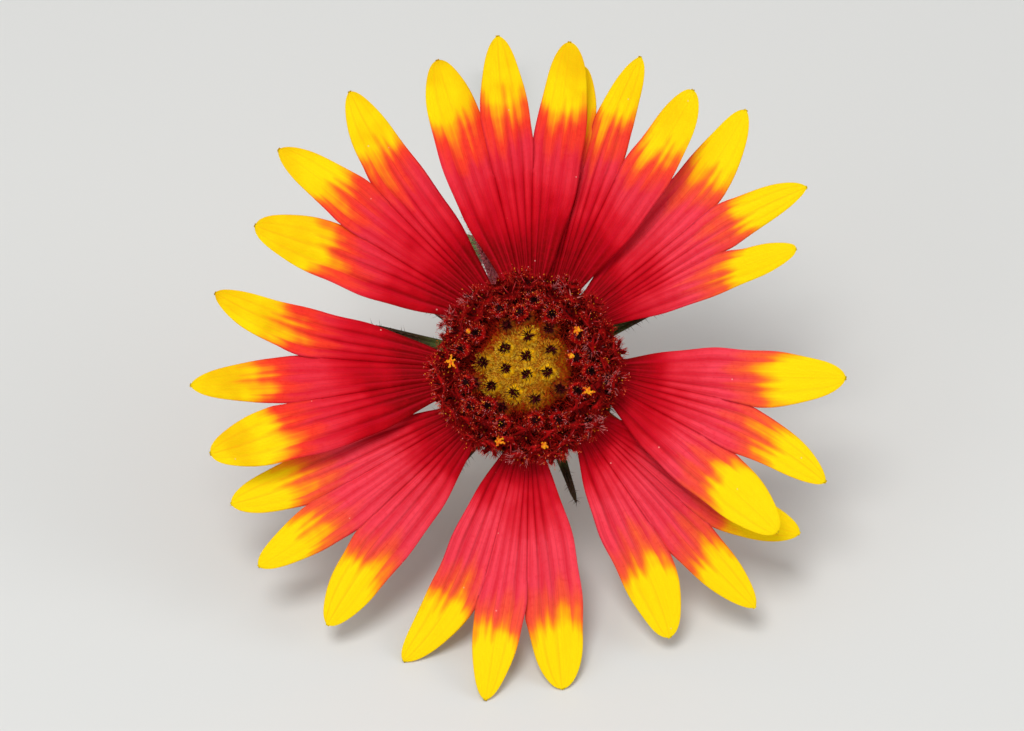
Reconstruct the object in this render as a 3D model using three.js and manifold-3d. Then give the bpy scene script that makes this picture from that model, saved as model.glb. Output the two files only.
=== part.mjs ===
// A blanket flower (Gaillardia pulchella) as picked: one bloom on a short cut stem with two small
// leaves, lying on a flat surface. Millimetres, +Z up. The bloom leans back on three tips of its
// lowest ray floret, and the stem bends down behind it until it lies along the surface.

import * as THREE from 'three';
import { mergeVertices } from 'three/addons/utils/BufferGeometryUtils.js';
import Module from 'manifold-3d';

const wasm = await Module();
wasm.setup();

const { clamp, degToRad, lerp, seededRandom, smoothstep } = THREE.MathUtils;

// The bloom's own frame has its ray florets spread in XY and its face towards +Z.
const BLOOM_LEAN = degToRad(45); // from facing straight up
const BLOOM_HEIGHT = 18.1; // of the bloom's centre above the surface
const CLEARANCE = 0.3; // between neighbouring pieces

// The disc grows a little off the centre of the ray florets, and its top leans back over it.
const DISC_CENTRE = new THREE.Vector2(0.75, -0.17);
const DISC_TOP_SHIFT = new THREE.Vector2(-0.83, 0.5);
const DISC_SHOULDER = 1.9; // height where the disc starts to lean and to widen
const DISC_TOP = 6.0;
const CENTRE_FLORET_SPACING = 0.7; // radius of the nth floret is this times the root of n
const GOLDEN_ANGLE = Math.PI * (3 - Math.sqrt(5));

// Ray florets, clockwise from the top. root is the angle of a floret's root about the disc's centre,
// level how far it is raised to lie over a neighbour, twistEnd how far along it has taken up its
// tips' heights, and notch how far along its slits start. A lobe is its tip's radius and angle, its
// half-width, its bow and its tip's height. Angles are in degrees anticlockwise from +X, the lobes
// go clockwise, and bow is how far a lobe's centre line swings anticlockwise of a straight one.
const RAYS = [
  { root: 93.4, level: 0.9, twistEnd: 0.4, notch: 0.48,
    lobes: [[26.3, 105.4, 2.4, 0.35, 2.6], [27.4, 94.2, 2.25, 0.15, 3.0], [27.1, 81.7, 2.15, -0.4, 3.0]] },
  { root: 72.2, level: 0, twistEnd: 0.4, notch: 0.52,
    lobes: [[25.5, 78.8, 1.9, -0.1, 1.2], [27.5, 69.2, 1.95, 0.35, 2.0], [26.9, 58.4, 2.1, -0.5, 2.4]] },
  { root: 43.2, level: 0, twistEnd: 0.4, notch: 0.56,
    lobes: [[28.4, 49.0, 2.3, -0.85, 0.2], [27.9, 32.4, 2.1, 0.45, 1.5], [24.7, 23.5, 1.6, 0.1, 1.7]] },
  { root: -6.0, level: 0.2, twistEnd: 0.4, notch: 0.48,
    lobes: [[26.8, -1.8, 2.5, -0.2, 1.6], [26.8, -20.6, 2.15, 0.9, 2.0], [25.0, -32.8, 2.5, 0.2, 2.9]] },
  { root: -44.1, level: 0, twistEnd: 0.4, notch: 0.49,
    lobes: [[27.0, -30.8, 2.25, -0.75, -1.1], [27.8, -45.8, 2.25, -0.15, 0.1], [25.6, -61.3, 2.5, 0.35, -0.4]] },
  { root: -94.8, level: 0, twistEnd: 1, notch: 0.53, restsOnTips: true,
    lobes: [[26.8, -82.8, 2.6, 0.2, 0], [27.6, -96.3, 2.3, 0.05, 0], [26.4, -112.0, 2.2, 1.0, 0]] },
  { root: -141.7, level: 0, twistEnd: 1, notch: 0.53,
    lobes: [[26.8, -127.1, 2.4, -0.25, 0.1], [27.4, -143.0, 2.2, 0.1, 0.5], [26.7, -154.9, 2.25, 0.2, 0]] },
  { root: -177.7, level: 0.4, twistEnd: 0.4, notch: 0.52,
    lobes: [[26.6, -164.6, 2.6, 0.15, 3.0], [27.4, -177.0, 2.05, -0.1, 2.3],
      [26.1, 166.3, 2.0, 0.75, 2.0]] },
  { root: 126.6, level: 0, twistEnd: 1, notch: 0.55,
    lobes: [[25.0, 151.9, 2.5, -0.15, 2.0], [27.0, 138.1, 2.25, -0.3, 2.3], [26.9, 122.0, 2.15, 0.5, 2.0]] },
];
const RAY_ROOT_RADIUS = 6.6; // about the disc's centre
const RAY_ROOT_HEIGHT = 0.32; // of the blade's middle surface
const RAY_HALF_THICKNESS = 0.32;
const RAY_LOBE_ROOT_SPACING = 0.87; // the three lobes' centre lines, side by side in the claw
const RAY_ARCH = 0.25; // how far a lobe's edges lie below its centre line
const SLIT_HALF_WIDTH = 0.08;
const LOBE_ROWS = [0, 0.2, 0.45, 0.72, 1, 1.2, 1.44, 1.68, 1.88, 2]; // 1 is the notch, 2 the tip
const LOBE_COLUMNS = [1, 0.5, 0, -0.5, -1];

const DISC_CORE_RADIUS = 6.1;
const DISC_CORE_TOP = 3.9;
const RING_ROOT_RADII = [4.05, 5.85]; // innermost and outermost open florets
const RING_ROOT_HEIGHTS = [3.6, 2.75];
const RING_LEANS = [7, 70].map(degToRad);
const RING_FLORETS = 62;
const RING_FLORET_LENGTH = 2.35;
const RING_FLORET_RADIUS = 0.82; // at the points of its mouth
const FLORET_FOOT_RADIUS = 0.28;
const FLORET_FOOT_DEPTH = 0.6; // sunk in the disc
const FLORET_THROAT_DEPTH = 0.5;
const CENTRE_FLORETS = 18;
const CENTRE_CAP_RADIUS = 3.45;
const CENTRE_CAP_BOTTOM = DISC_CORE_TOP + CLEARANCE;
const CENTRE_CAP_EDGE = 4.6;
const CENTRE_CAP_TOP = 5.1;
const BUD_PROFILE = [[0, -0.4], [0.56, -0.4], [0.62, 0.5], [0, 0.95]];

const RECEPTACLE_PROFILE = [[0, -6.5], [1.5, -6.5], [4.6, -4.6], [6.9, -2.8], [7.3, -1.4], [7.1, 0]];
const BRACTS_IN_ROW = 13;
const BRACT_START_ANGLE = degToRad(107.4);
const BRACT_ROWS = [
  { reach: 11.2, rootHeight: -1.1, tipHeight: -2.1, width: 2.6, offset: 0.5 },
  { reach: 14.0, rootHeight: -2.0, tipHeight: -3.5, width: 2.9, offset: 0 },
];
// Degrees that some bracts are pushed aside by the ray florets over them, by their number.
const BRACT_TURNS = new Map([[9, -12], [13, 5], [18, -15]]);
const BRACT_START_RADIUS = 5.2;
const BRACT_HALF_THICKNESS = 0.32;
const BRACT_TIP_HALF_WIDTH = 0.16;

const STEM_RADIUS = 1.1;
const STEM_TOP_DEPTH = 6.8; // below the bloom's centre
const STEM_BEND_RADIUS = 34;
const STEM_END_Y = 59;
const STEM_SWAY = -2.5; // how far the stem drifts along X on its way
const STEM_SWAY_FROM_Y = 10;
const STEM_SWAY_TO_Y = 50;

const LEAVES = [
  { name: 'leaf_1', side: -1, rootY: 33.5, reach: [-13.5, -3.5], halfWidth: 3.5, teeth: 4 },
  { name: 'leaf_2', side: 1, rootY: 46.5, reach: [13, -8], halfWidth: 2.9, teeth: 3 },
];
const LEAF_THICKNESS = 0.64;
const LEAF_RIB_HEIGHT = 0.22;
const LEAF_ROOT_LIFT = 0.5;
const LEAF_TOOTH_DEPTH = 0.22; // as a share of the half-width
const LEAF_ROWS = 18;
const LEAF_COLUMNS = [1, 0.5, 0, -0.5, -1];

const MATERIALS = {
  ray: { color: '#d92436', roughness: 0.62 },
  discRing: { color: '#5c0d12', roughness: 0.8 },
  discCentre: { color: '#c2a008', roughness: 0.7 },
  involucre: { color: '#5f7a35', roughness: 0.8 },
  stem: { color: '#6d8540', roughness: 0.75 },
  leaf: { color: '#5b7a36', roughness: 0.8 },
};

// ---- Closed meshes -------------------------------------------------------------------------

// Collects four-cornered faces, each listed anticlockwise as seen from outside.
class FaceList {
  constructor() {
    this.positions = [];
  }

  quad(a, b, c, d) {
    this.triangle(a, b, c);
    this.triangle(a, c, d);
  }

  triangle(a, b, c) {
    this.positions.push(...a.toArray(), ...b.toArray(), ...c.toArray());
  }

  toGeometry() {
    const loose = new THREE.BufferGeometry();
    loose.setAttribute('position', new THREE.Float32BufferAttribute(this.positions, 3));
    return mergeVertices(loose, 1e-4);
  }
}

// Adds a blade whose two faces are grids of points. walls says which sides of each row step are
// free edges, which need a wall.
function addBlade(faces, upper, lower, walls) {
  const lastRow = upper.length - 1;
  const lastColumn = upper[0].length - 1;
  for (let row = 0; row < lastRow; row += 1) {
    const next = row + 1;
    for (let column = 0; column < lastColumn; column += 1) {
      const right = column + 1;
      faces.quad(upper[row][column], upper[row][right], upper[next][right], upper[next][column]);
      faces.quad(lower[row][column], lower[next][column], lower[next][right], lower[row][right]);
    }
    if (walls.left(row)) {
      faces.quad(upper[row][0], upper[next][0], lower[next][0], lower[row][0]);
    }
    if (walls.right(row)) {
      faces.quad(upper[row][lastColumn], lower[row][lastColumn], lower[next][lastColumn],
        upper[next][lastColumn]);
    }
  }
  for (let column = 0; column < lastColumn; column += 1) {
    const right = column + 1;
    faces.quad(lower[0][column], lower[0][right], upper[0][right], upper[0][column]);
    faces.quad(upper[lastRow][column], upper[lastRow][right], lower[lastRow][right],
      lower[lastRow][column]);
  }
}

function raised(point, distance) {
  return new THREE.Vector3(point.x, point.y, point.z + distance);
}

function toManifold(geometry) {
  const bare = geometry.clone();
  bare.deleteAttribute('normal');
  bare.deleteAttribute('uv');
  const merged = mergeVertices(bare, 1e-4);
  return new wasm.Manifold(new wasm.Mesh({
    numProp: 3,
    vertProperties: new Float32Array(merged.attributes.position.array),
    triVerts: new Uint32Array(merged.index.array),
  }));
}

// One closed geometry from a body and the pieces that grow out of it.
function fused(body, growths) {
  let solid = toManifold(body);
  for (const growth of growths) {
    solid = solid.add(toManifold(growth));
  }
  const mesh = solid.getMesh();
  const geometry = new THREE.BufferGeometry();
  geometry.setAttribute('position', new THREE.BufferAttribute(mesh.vertProperties, 3));
  geometry.setIndex(new THREE.BufferAttribute(mesh.triVerts, 1));
  return geometry;
}

function namedMesh(name, geometry, material) {
  geometry.computeVertexNormals();
  const mesh = new THREE.Mesh(geometry, new THREE.MeshStandardMaterial({
    ...material,
    metalness: 0,
    flatShading: true,
  }));
  mesh.name = name;
  return mesh;
}

// ---- Ray florets ---------------------------------------------------------------------------

function polar(radius, degrees) {
  const angle = degToRad(degrees);
  return new THREE.Vector2(radius * Math.cos(angle), radius * Math.sin(angle));
}

// Height, in the bloom's frame, at which a lobe tip's lower face just meets the surface.
function restingHeight(tip) {
  const surfaceHeight = -(BLOOM_HEIGHT + tip.y * Math.sin(BLOOM_LEAN)) / Math.cos(BLOOM_LEAN);
  return surfaceHeight + RAY_HALF_THICKNESS;
}

// The floret's frame: its root, its outward direction and each lobe's tip in that frame.
function rayFrame(ray) {
  const root = polar(RAY_ROOT_RADIUS, ray.root).add(DISC_CENTRE);
  const tips = ray.lobes.map(([radius, degrees]) => polar(radius, degrees));
  const towardsTip = tips[1].clone().sub(root).normalize();
  const outward = polar(1, ray.root).add(towardsTip).normalize();
  const sideways = new THREE.Vector2(-outward.y, outward.x);
  const lobes = ray.lobes.map(([, , halfWidth, bow, height], index) => {
    const reach = tips[index].clone().sub(root);
    return {
      rootOffset: (1 - index) * RAY_LOBE_ROOT_SPACING,
      length: reach.dot(outward),
      tipOffset: reach.dot(sideways),
      halfWidth,
      bow,
      tipHeight: ray.restsOnTips ? restingHeight(tips[index]) : height,
    };
  });
  return { ray, root, outward, sideways, lobes };
}

function lobeCentre(frame, index, along) {
  const lobe = frame.lobes[index];
  const swing = lobe.bow * (along ** 2 * (1 - along)) / (0.75 ** 2 * 0.25);
  const spread = lobe.rootOffset * (1 - along) ** 2 + lobe.tipOffset * along + swing;
  return frame.root.clone()
    .addScaledVector(frame.outward, lobe.length * along)
    .addScaledVector(frame.sideways, spread);
}

// Half-width of a free lobe: narrow in the claw, widest halfway, then a blunt point.
function lobeHalfWidth(lobe, along) {
  const swell = Math.sin(Math.PI * Math.min(along, 0.5)) ** 1.1;
  const point = Math.sqrt(Math.max(0, 1 - Math.max(0, 2 * along - 1) ** 2.6));
  return Math.max(0.1, lobe.halfWidth * (0.25 + 0.72 * swell) * point);
}

// The lobe's edge on one side: +1 anticlockwise, -1 clockwise. Below the notch neighbouring lobes
// share it, and above the notch a narrow slit opens between them.
function lobeEdge(frame, index, along, side) {
  const centre = lobeCentre(frame, index, along);
  const halfWidth = lobeHalfWidth(frame.lobes[index], along);
  const neighbour = index - side;
  if (neighbour < 0 || neighbour > 2) {
    const ahead = lobeCentre(frame, index, along + 0.01).sub(centre).normalize();
    return centre.add(new THREE.Vector2(-ahead.y, ahead.x).multiplyScalar(side * halfWidth));
  }
  const first = lobeCentre(frame, Math.min(index, neighbour), along);
  const second = lobeCentre(frame, Math.max(index, neighbour), along);
  const { notch } = frame.ray;
  if (along <= notch) {
    return first.lerp(second, 0.5);
  }
  const halfGap = first.distanceTo(second) / 2;
  const freed = smoothstep(along, notch, notch + 0.2);
  const reach = Math.min(halfGap - SLIT_HALF_WIDTH, lerp(halfGap, halfWidth, freed));
  const towards = (neighbour < index ? first : second).sub(centre).normalize();
  return centre.addScaledVector(towards, reach);
}

// Height of the middle surface. across runs from +1.5 to -1.5 over the floret's three lobes.
function rayHeight(frame, along, across, acrossLobe) {
  const [first, middle, last] = frame.lobes.map((lobe) => lobe.tipHeight);
  const mean = (first + middle + last) / 3;
  const place = clamp(across, -1.2, 1.2);
  const tip = middle + (place * (first - last)) / 2 + place ** 2 * ((first + last) / 2 - middle);
  const twist = smoothstep(along, 0, frame.ray.twistEnd);
  const arch = RAY_ARCH * Math.sin(Math.PI * along) * acrossLobe ** 2;
  const rootHeight = RAY_ROOT_HEIGHT + frame.ray.level;
  return lerp(rootHeight, mean, along ** 1.2) + (tip - mean) * twist - arch;
}

function rayPoint(frame, index, along, acrossLobe) {
  const side = Math.sign(acrossLobe) || 1;
  const centre = lobeCentre(frame, index, along);
  const flat = centre.clone().lerp(lobeEdge(frame, index, along, side), Math.abs(acrossLobe));
  const level = 1 - smoothstep(along, frame.ray.notch, 1); // a lobe is level across at its tip
  const across = 1 - index + 0.5 * acrossLobe * level;
  return new THREE.Vector3(flat.x, flat.y, rayHeight(frame, along, across, acrossLobe));
}

function rayGeometry(ray) {
  const frame = rayFrame(ray);
  const rows = LOBE_ROWS.map((share) => (share <= 1
    ? share * ray.notch
    : lerp(ray.notch, 1, share - 1)));
  const notchRow = LOBE_ROWS.indexOf(1);
  const faces = new FaceList();
  for (let index = 0; index < 3; index += 1) {
    const middle = rows.map((along) => LOBE_COLUMNS.map(
      (acrossLobe) => rayPoint(frame, index, along, acrossLobe),
    ));
    const upper = middle.map((row) => row.map((point) => raised(point, RAY_HALF_THICKNESS)));
    const lower = middle.map((row) => row.map((point) => raised(point, -RAY_HALF_THICKNESS)));
    addBlade(faces, upper, lower, {
      left: (row) => index === 0 || row >= notchRow,
      right: (row) => index === 2 || row >= notchRow,
    });
  }
  return faces.toGeometry();
}

// ---- Disc ----------------------------------------------------------------------------------

// Moves a geometry from the disc's axis to its place, leaning more the higher it reaches.
function placedOnDisc(geometry) {
  const position = geometry.attributes.position;
  for (let index = 0; index < position.count; index += 1) {
    const lean = Math.max(0, position.getZ(index) - DISC_SHOULDER) / (DISC_TOP - DISC_SHOULDER);
    position.setX(index, position.getX(index) + DISC_CENTRE.x + lean * DISC_TOP_SHIFT.x);
    position.setY(index, position.getY(index) + DISC_CENTRE.y + lean * DISC_TOP_SHIFT.y);
  }
  return geometry;
}

// A solid of revolution about Z from [radius, height] points that start and end on the axis.
function latheUpright(profile, segments) {
  const points = profile.map(([radius, height]) => new THREE.Vector2(radius, height));
  return new THREE.LatheGeometry(points, segments).rotateX(Math.PI / 2);
}

// An open floret along +Z: a five-sided tube that flares into five points round a hollow.
function openFloret(length, radius) {
  const points = 5;
  const corner = (place, reach, height) => {
    const angle = (2 * Math.PI * place) / points;
    return new THREE.Vector3(reach * Math.cos(angle), reach * Math.sin(angle), height);
  };
  const footCentre = new THREE.Vector3(0, 0, -FLORET_FOOT_DEPTH);
  const throat = new THREE.Vector3(0, 0, length - FLORET_THROAT_DEPTH);
  const faces = new FaceList();
  for (let point = 0; point < points; point += 1) {
    const foot = corner(point, FLORET_FOOT_RADIUS, -FLORET_FOOT_DEPTH);
    const nextFoot = corner(point + 1, FLORET_FOOT_RADIUS, -FLORET_FOOT_DEPTH);
    const tip = corner(point, radius, length);
    const nextTip = corner(point + 1, radius, length);
    const valley = corner(point + 0.5, radius * 0.58, length - 0.1);
    faces.triangle(footCentre, nextFoot, foot);
    faces.quad(foot, nextFoot, nextTip, valley);
    faces.triangle(foot, valley, tip);
    faces.quad(throat, tip, valley, nextTip);
  }
  return faces.toGeometry();
}

// Spins an upright geometry, leans it outwards and sets it at a radius and angle about Z.
function leaned(geometry, angle, lean, radius, height, spin) {
  return geometry.rotateZ(spin).rotateY(lean).translate(radius, 0, height).rotateZ(angle);
}

function discRingGeometry() {
  const core = placedOnDisc(latheUpright([
    [0, 0], [DISC_CORE_RADIUS, 0], [DISC_CORE_RADIUS, DISC_SHOULDER], [6.0, 2.7], [5.3, 3.4],
    [4.3, DISC_CORE_TOP], [0, DISC_CORE_TOP],
  ], 32));
  seededRandom(11);
  const innermost = Math.sqrt(CENTRE_FLORETS + 1);
  const outermost = Math.sqrt(CENTRE_FLORETS + RING_FLORETS);
  const florets = Array.from({ length: RING_FLORETS }, (_, index) => {
    const count = CENTRE_FLORETS + 1 + index;
    const share = (Math.sqrt(count) - innermost) / (outermost - innermost);
    const length = RING_FLORET_LENGTH * (0.9 + 0.2 * seededRandom());
    const floret = openFloret(length, RING_FLORET_RADIUS);
    const radius = lerp(...RING_ROOT_RADII, share);
    return placedOnDisc(leaned(floret, count * GOLDEN_ANGLE, lerp(...RING_LEANS, share), radius,
      lerp(...RING_ROOT_HEIGHTS, share), seededRandom() * Math.PI));
  });
  return fused(core, florets);
}

function discCentreGeometry() {
  const cap = placedOnDisc(latheUpright([
    [0, CENTRE_CAP_BOTTOM], [CENTRE_CAP_RADIUS, CENTRE_CAP_BOTTOM],
    [CENTRE_CAP_RADIUS, CENTRE_CAP_EDGE], [2.4, 4.95], [0, CENTRE_CAP_TOP],
  ], 20));
  const buds = Array.from({ length: CENTRE_FLORETS }, (_, index) => {
    const radius = CENTRE_FLORET_SPACING * Math.sqrt(index + 0.3);
    const height = lerp(CENTRE_CAP_TOP, CENTRE_CAP_EDGE, (radius / CENTRE_CAP_RADIUS) ** 2);
    const bud = latheUpright(BUD_PROFILE, 6);
    return placedOnDisc(leaned(bud, index * GOLDEN_ANGLE, 0.05 * radius, radius, height, 0));
  });
  return fused(cap, buds);
}

// ---- Involucre -----------------------------------------------------------------------------

// A pointed bract along +X, widest at its root and bending down to its tip.
function bractGeometry({ reach, rootHeight, tipHeight, width }) {
  const stations = [0, 0.25, 0.5, 0.75, 1];
  const middle = stations.map((along) => {
    const halfWidth = Math.max(BRACT_TIP_HALF_WIDTH, (width / 2) * (1 - along) ** 1.1);
    const height = lerp(rootHeight, tipHeight, along ** 1.8);
    return [1, -1].map((side) => new THREE.Vector3(
      lerp(BRACT_START_RADIUS, reach, along), side * halfWidth, height,
    ));
  });
  const upper = middle.map((row) => row.map((point) => raised(point, BRACT_HALF_THICKNESS)));
  const lower = middle.map((row) => row.map((point) => raised(point, -BRACT_HALF_THICKNESS)));
  const faces = new FaceList();
  addBlade(faces, upper, lower, { left: () => true, right: () => true });
  return faces.toGeometry();
}

function involucreGeometry() {
  const receptacle = latheUpright([...RECEPTACLE_PROFILE, [0, 0]], 22);
  seededRandom(23);
  const bracts = Array.from({ length: 2 * BRACTS_IN_ROW }, (_, number) => {
    const row = BRACT_ROWS[Math.floor(number / BRACTS_IN_ROW)];
    const step = (number % BRACTS_IN_ROW) + row.offset;
    const turn = degToRad(BRACT_TURNS.get(number) ?? 0);
    const angle = BRACT_START_ANGLE + (step * 2 * Math.PI) / BRACTS_IN_ROW + turn;
    const reach = row.reach + 1.2 * (seededRandom() - 0.5);
    return bractGeometry({ ...row, reach }).rotateZ(angle + 0.08 * (seededRandom() - 0.5));
  });
  return fused(receptacle, bracts).translate(DISC_CENTRE.x, DISC_CENTRE.y, -CLEARANCE);
}

// ---- Stem and leaves -----------------------------------------------------------------------

function stemX(y) {
  return DISC_CENTRE.x + STEM_SWAY * smoothstep(y, STEM_SWAY_FROM_Y, STEM_SWAY_TO_Y);
}

// The stem leaves the involucre along the bloom's axis, bends down and lies along the surface.
function stemPath() {
  const top = new THREE.Vector3(DISC_CENTRE.x, DISC_CENTRE.y, -STEM_TOP_DEPTH - CLEARANCE)
    .applyAxisAngle(new THREE.Vector3(1, 0, 0), BLOOM_LEAN)
    .add(new THREE.Vector3(0, 0, BLOOM_HEIGHT));
  const down = Math.cos(BLOOM_LEAN);
  const back = Math.sin(BLOOM_LEAN);
  const bendDrop = STEM_BEND_RADIUS * (1 - Math.sin(Math.PI / 2 - BLOOM_LEAN));
  const straight = (top.z - STEM_RADIUS - bendDrop) / down;
  const bendStart = top.clone().add(new THREE.Vector3(0, back, -down).multiplyScalar(straight));
  const bendLength = STEM_BEND_RADIUS * Math.sin(BLOOM_LEAN);
  const points = [top, top.clone().lerp(bendStart, 0.5)];
  const bendSteps = 8;
  for (let step = 0; step <= bendSteps; step += 1) {
    const slope = BLOOM_LEAN * (1 - step / bendSteps);
    const y = bendStart.y + bendLength - STEM_BEND_RADIUS * Math.sin(slope);
    points.push(new THREE.Vector3(stemX(y), y,
      STEM_RADIUS + STEM_BEND_RADIUS * (1 - Math.cos(slope))));
  }
  const lyingFrom = bendStart.y + bendLength;
  for (const share of [0.25, 0.5, 0.75, 1]) {
    const y = lerp(lyingFrom, STEM_END_Y, share);
    points.push(new THREE.Vector3(stemX(y), y, STEM_RADIUS));
  }
  return new THREE.CatmullRomCurve3(points, false, 'centripetal');
}

function stemGeometry() {
  const sides = 10;
  const section = new THREE.Shape(Array.from({ length: sides }, (_, index) => {
    const angle = (index * 2 * Math.PI) / sides;
    const reach = STEM_RADIUS / Math.cos(Math.PI / sides);
    return new THREE.Vector2(reach * Math.cos(angle), reach * Math.sin(angle));
  }));
  return new THREE.ExtrudeGeometry(section, {
    steps: 20,
    extrudePath: stemPath(),
    bevelEnabled: false,
  });
}

// A blade broadest past its middle, with blunt teeth and a margin that lifts off the surface.
function leafGeometry({ side, rootY, reach, halfWidth, teeth }) {
  const root = new THREE.Vector2(stemX(rootY) + side * (STEM_RADIUS + 2 * CLEARANCE), rootY);
  const tip = root.clone().add(new THREE.Vector2(...reach));
  const bow = new THREE.Vector2(root.x + reach[0] * 0.62, root.y + reach[1] * 0.3);
  const midrib = new THREE.QuadraticBezierCurve(root, bow, tip);
  const middle = [];
  for (let row = 0; row <= LEAF_ROWS; row += 1) {
    const along = row / LEAF_ROWS;
    const ahead = midrib.getTangent(along);
    const centre = midrib.getPoint(along);
    const outline = 0.18 * (1 - along) + Math.sin(Math.PI * along ** 1.35) ** 0.9;
    const tooth = along > 0.25 ? LEAF_TOOTH_DEPTH * (((along * teeth * 1.6) % 1) - 0.5) : 0;
    const reachSide = Math.max(0.14, halfWidth * outline * (1 + tooth));
    const rootLift = LEAF_ROOT_LIFT * (1 - smoothstep(along, 0, 0.2));
    middle.push(LEAF_COLUMNS.map((across) => {
      const marginLift = Math.max(0, Math.abs(across) - 0.5) * (0.8 + 0.7 * Math.sin(9 * along));
      return new THREE.Vector3(
        centre.x - ahead.y * across * reachSide,
        centre.y + ahead.x * across * reachSide,
        LEAF_THICKNESS / 2 + rootLift + marginLift * Math.sin(Math.PI * along),
      );
    }));
  }
  const rib = (across) => (across === 0 ? LEAF_RIB_HEIGHT : 0);
  const upper = middle.map((row) => row.map(
    (point, column) => raised(point, LEAF_THICKNESS / 2 + rib(LEAF_COLUMNS[column])),
  ));
  const lower = middle.map((row) => row.map((point) => raised(point, -LEAF_THICKNESS / 2)));
  const faces = new FaceList();
  addBlade(faces, upper, lower, { left: () => true, right: () => true });
  return faces.toGeometry();
}

// ---- Assembly ------------------------------------------------------------------------------

const bloom = new THREE.Group();
bloom.rotation.x = BLOOM_LEAN;
bloom.position.z = BLOOM_HEIGHT;
RAYS.forEach((ray, index) => {
  const name = `ray_floret_${String(index + 1).padStart(2, '0')}`;
  bloom.add(namedMesh(name, rayGeometry(ray), MATERIALS.ray));
});
bloom.add(namedMesh('disc_ring_florets', discRingGeometry(), MATERIALS.discRing));
bloom.add(namedMesh('disc_centre_florets', discCentreGeometry(), MATERIALS.discCentre));
bloom.add(namedMesh('involucre', involucreGeometry(), MATERIALS.involucre));

const flower = new THREE.Group();
flower.add(bloom);
flower.add(namedMesh('stem', stemGeometry(), MATERIALS.stem));
for (const leaf of LEAVES) {
  flower.add(namedMesh(leaf.name, leafGeometry(leaf), MATERIALS.leaf));
}

// The origin is under the middle of the flower's bounding box, on the surface it lies on.
flower.updateMatrixWorld(true);
const bounds = new THREE.Box3().setFromObject(flower, true);
const middle = bounds.getCenter(new THREE.Vector3());
flower.position.set(-middle.x, -middle.y, -bounds.min.z);

export default flower;
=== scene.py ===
"""Dresses the solids of a picked blanket flower with finished pieces: grooved ray florets, a bristly
disc, hairy bracts, a ribbed stem and veined leaves. Shapes are worked out in millimetres, in the
bloom's own frame (ray florets spread in XY, face towards +Z) or the flower's, and then placed."""

import math
import random

import bmesh
import bpy
from bpy.props import FloatProperty, FloatVectorProperty, IntProperty, PointerProperty
from mathutils import Matrix, Vector, noise


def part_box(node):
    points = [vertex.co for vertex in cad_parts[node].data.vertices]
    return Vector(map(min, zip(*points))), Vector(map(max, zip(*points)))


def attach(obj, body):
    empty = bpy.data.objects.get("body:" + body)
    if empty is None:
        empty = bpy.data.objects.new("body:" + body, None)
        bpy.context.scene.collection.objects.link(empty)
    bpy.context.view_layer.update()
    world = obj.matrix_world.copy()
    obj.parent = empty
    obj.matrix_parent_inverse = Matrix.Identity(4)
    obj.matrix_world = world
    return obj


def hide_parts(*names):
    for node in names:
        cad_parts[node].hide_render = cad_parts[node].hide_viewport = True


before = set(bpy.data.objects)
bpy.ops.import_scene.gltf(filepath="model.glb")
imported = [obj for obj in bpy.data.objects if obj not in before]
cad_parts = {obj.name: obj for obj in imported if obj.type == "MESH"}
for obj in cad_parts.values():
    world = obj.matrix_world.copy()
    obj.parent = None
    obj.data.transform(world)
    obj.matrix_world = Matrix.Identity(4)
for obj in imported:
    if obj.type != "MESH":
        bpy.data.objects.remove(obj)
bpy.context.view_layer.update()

bl_info = {
    "name": "Blanket Flower",
    "version": (1, 0, 0),
    "blender": (4, 5, 0),
    "location": "View3D > Sidebar > Blanket Flower",
    "description": "Builds the finished pieces of a picked blanket flower over its solids",
    "category": "Object",
}

MM = 0.001


def srgb(red, green, blue):
    """A linear colour from three 8-bit display values."""
    return tuple(((value / 255 + 0.055) / 1.055) ** 2.4 for value in (red, green, blue))


# ---- Sizes and colours a user would change ---------------------------------------------------


def length(name, description, millimetres):
    """A length that the user can change."""
    default = millimetres * MM
    return FloatProperty(
        name=name, description=description, default=default, min=0, precision=5, unit="LENGTH"
    )


def colour(name, description, *value):
    """A colour that the user can change."""
    return FloatVectorProperty(
        name=name, description=description, default=srgb(*value), min=0, max=1, subtype="COLOR"
    )


class PetalSettings(bpy.types.PropertyGroup):
    thickness: length("Thickness", "Thickness of a ray floret's blade", 0.2)
    groove_depth: length("Groove Depth", "Depth of the grooves along a ray floret's veins", 0.12)
    yellow_length: length("Yellow Length", "Length of the yellow at each lobe's tip", 7.2)
    deep_red: colour("Deep Red", "Foot of a ray floret and its veins", 122, 0, 2)
    red: colour("Red", "Lower half of a ray floret", 216, 5, 27)
    pink: colour("Pink", "Upper half of a ray floret's red", 247, 69, 86)
    warm: colour("Warm Red", "Where the pink nears the orange", 247, 86, 54)
    orange: colour("Orange", "Where the red gives way to yellow", 253, 126, 26)
    yellow: colour("Yellow", "Tips of a ray floret's lobes", 255, 218, 10)


class DiscSettings(bpy.types.PropertyGroup):
    hair_length: length("Hair Length", "Longest hair on an open disc floret", 0.85)
    hairs_on_floret: IntProperty(
        name="Hairs on a Floret", description="Hairs on one open disc floret's lobes", default=110, min=0
    )
    maroon: colour("Maroon", "Lobes and hairs of the open disc florets", 214, 8, 9)
    # Dark maroon is the tufts' own colour; in the florets' throats it is painted shade.
    dark: colour("Dark Maroon", "Throats and tufts of the disc florets", 30, 0, 3)
    yellow: colour("Yellow", "Buds in the middle of the disc", 255, 196, 4)
    pollen: colour("Pollen", "Pollen on the open disc florets", 255, 168, 14)


class GreenSettings(bpy.types.PropertyGroup):
    hair_length: length("Hair Length", "Longest hair on the stem, bracts and leaves", 1.0)
    stem: colour("Stem", "Stem between its ribs", 104, 130, 62)
    leaf: colour("Leaf", "Upper face of the leaves", 72, 104, 44)
    bract: colour("Bract", "Outer face of the bracts", 92, 116, 52)


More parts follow.
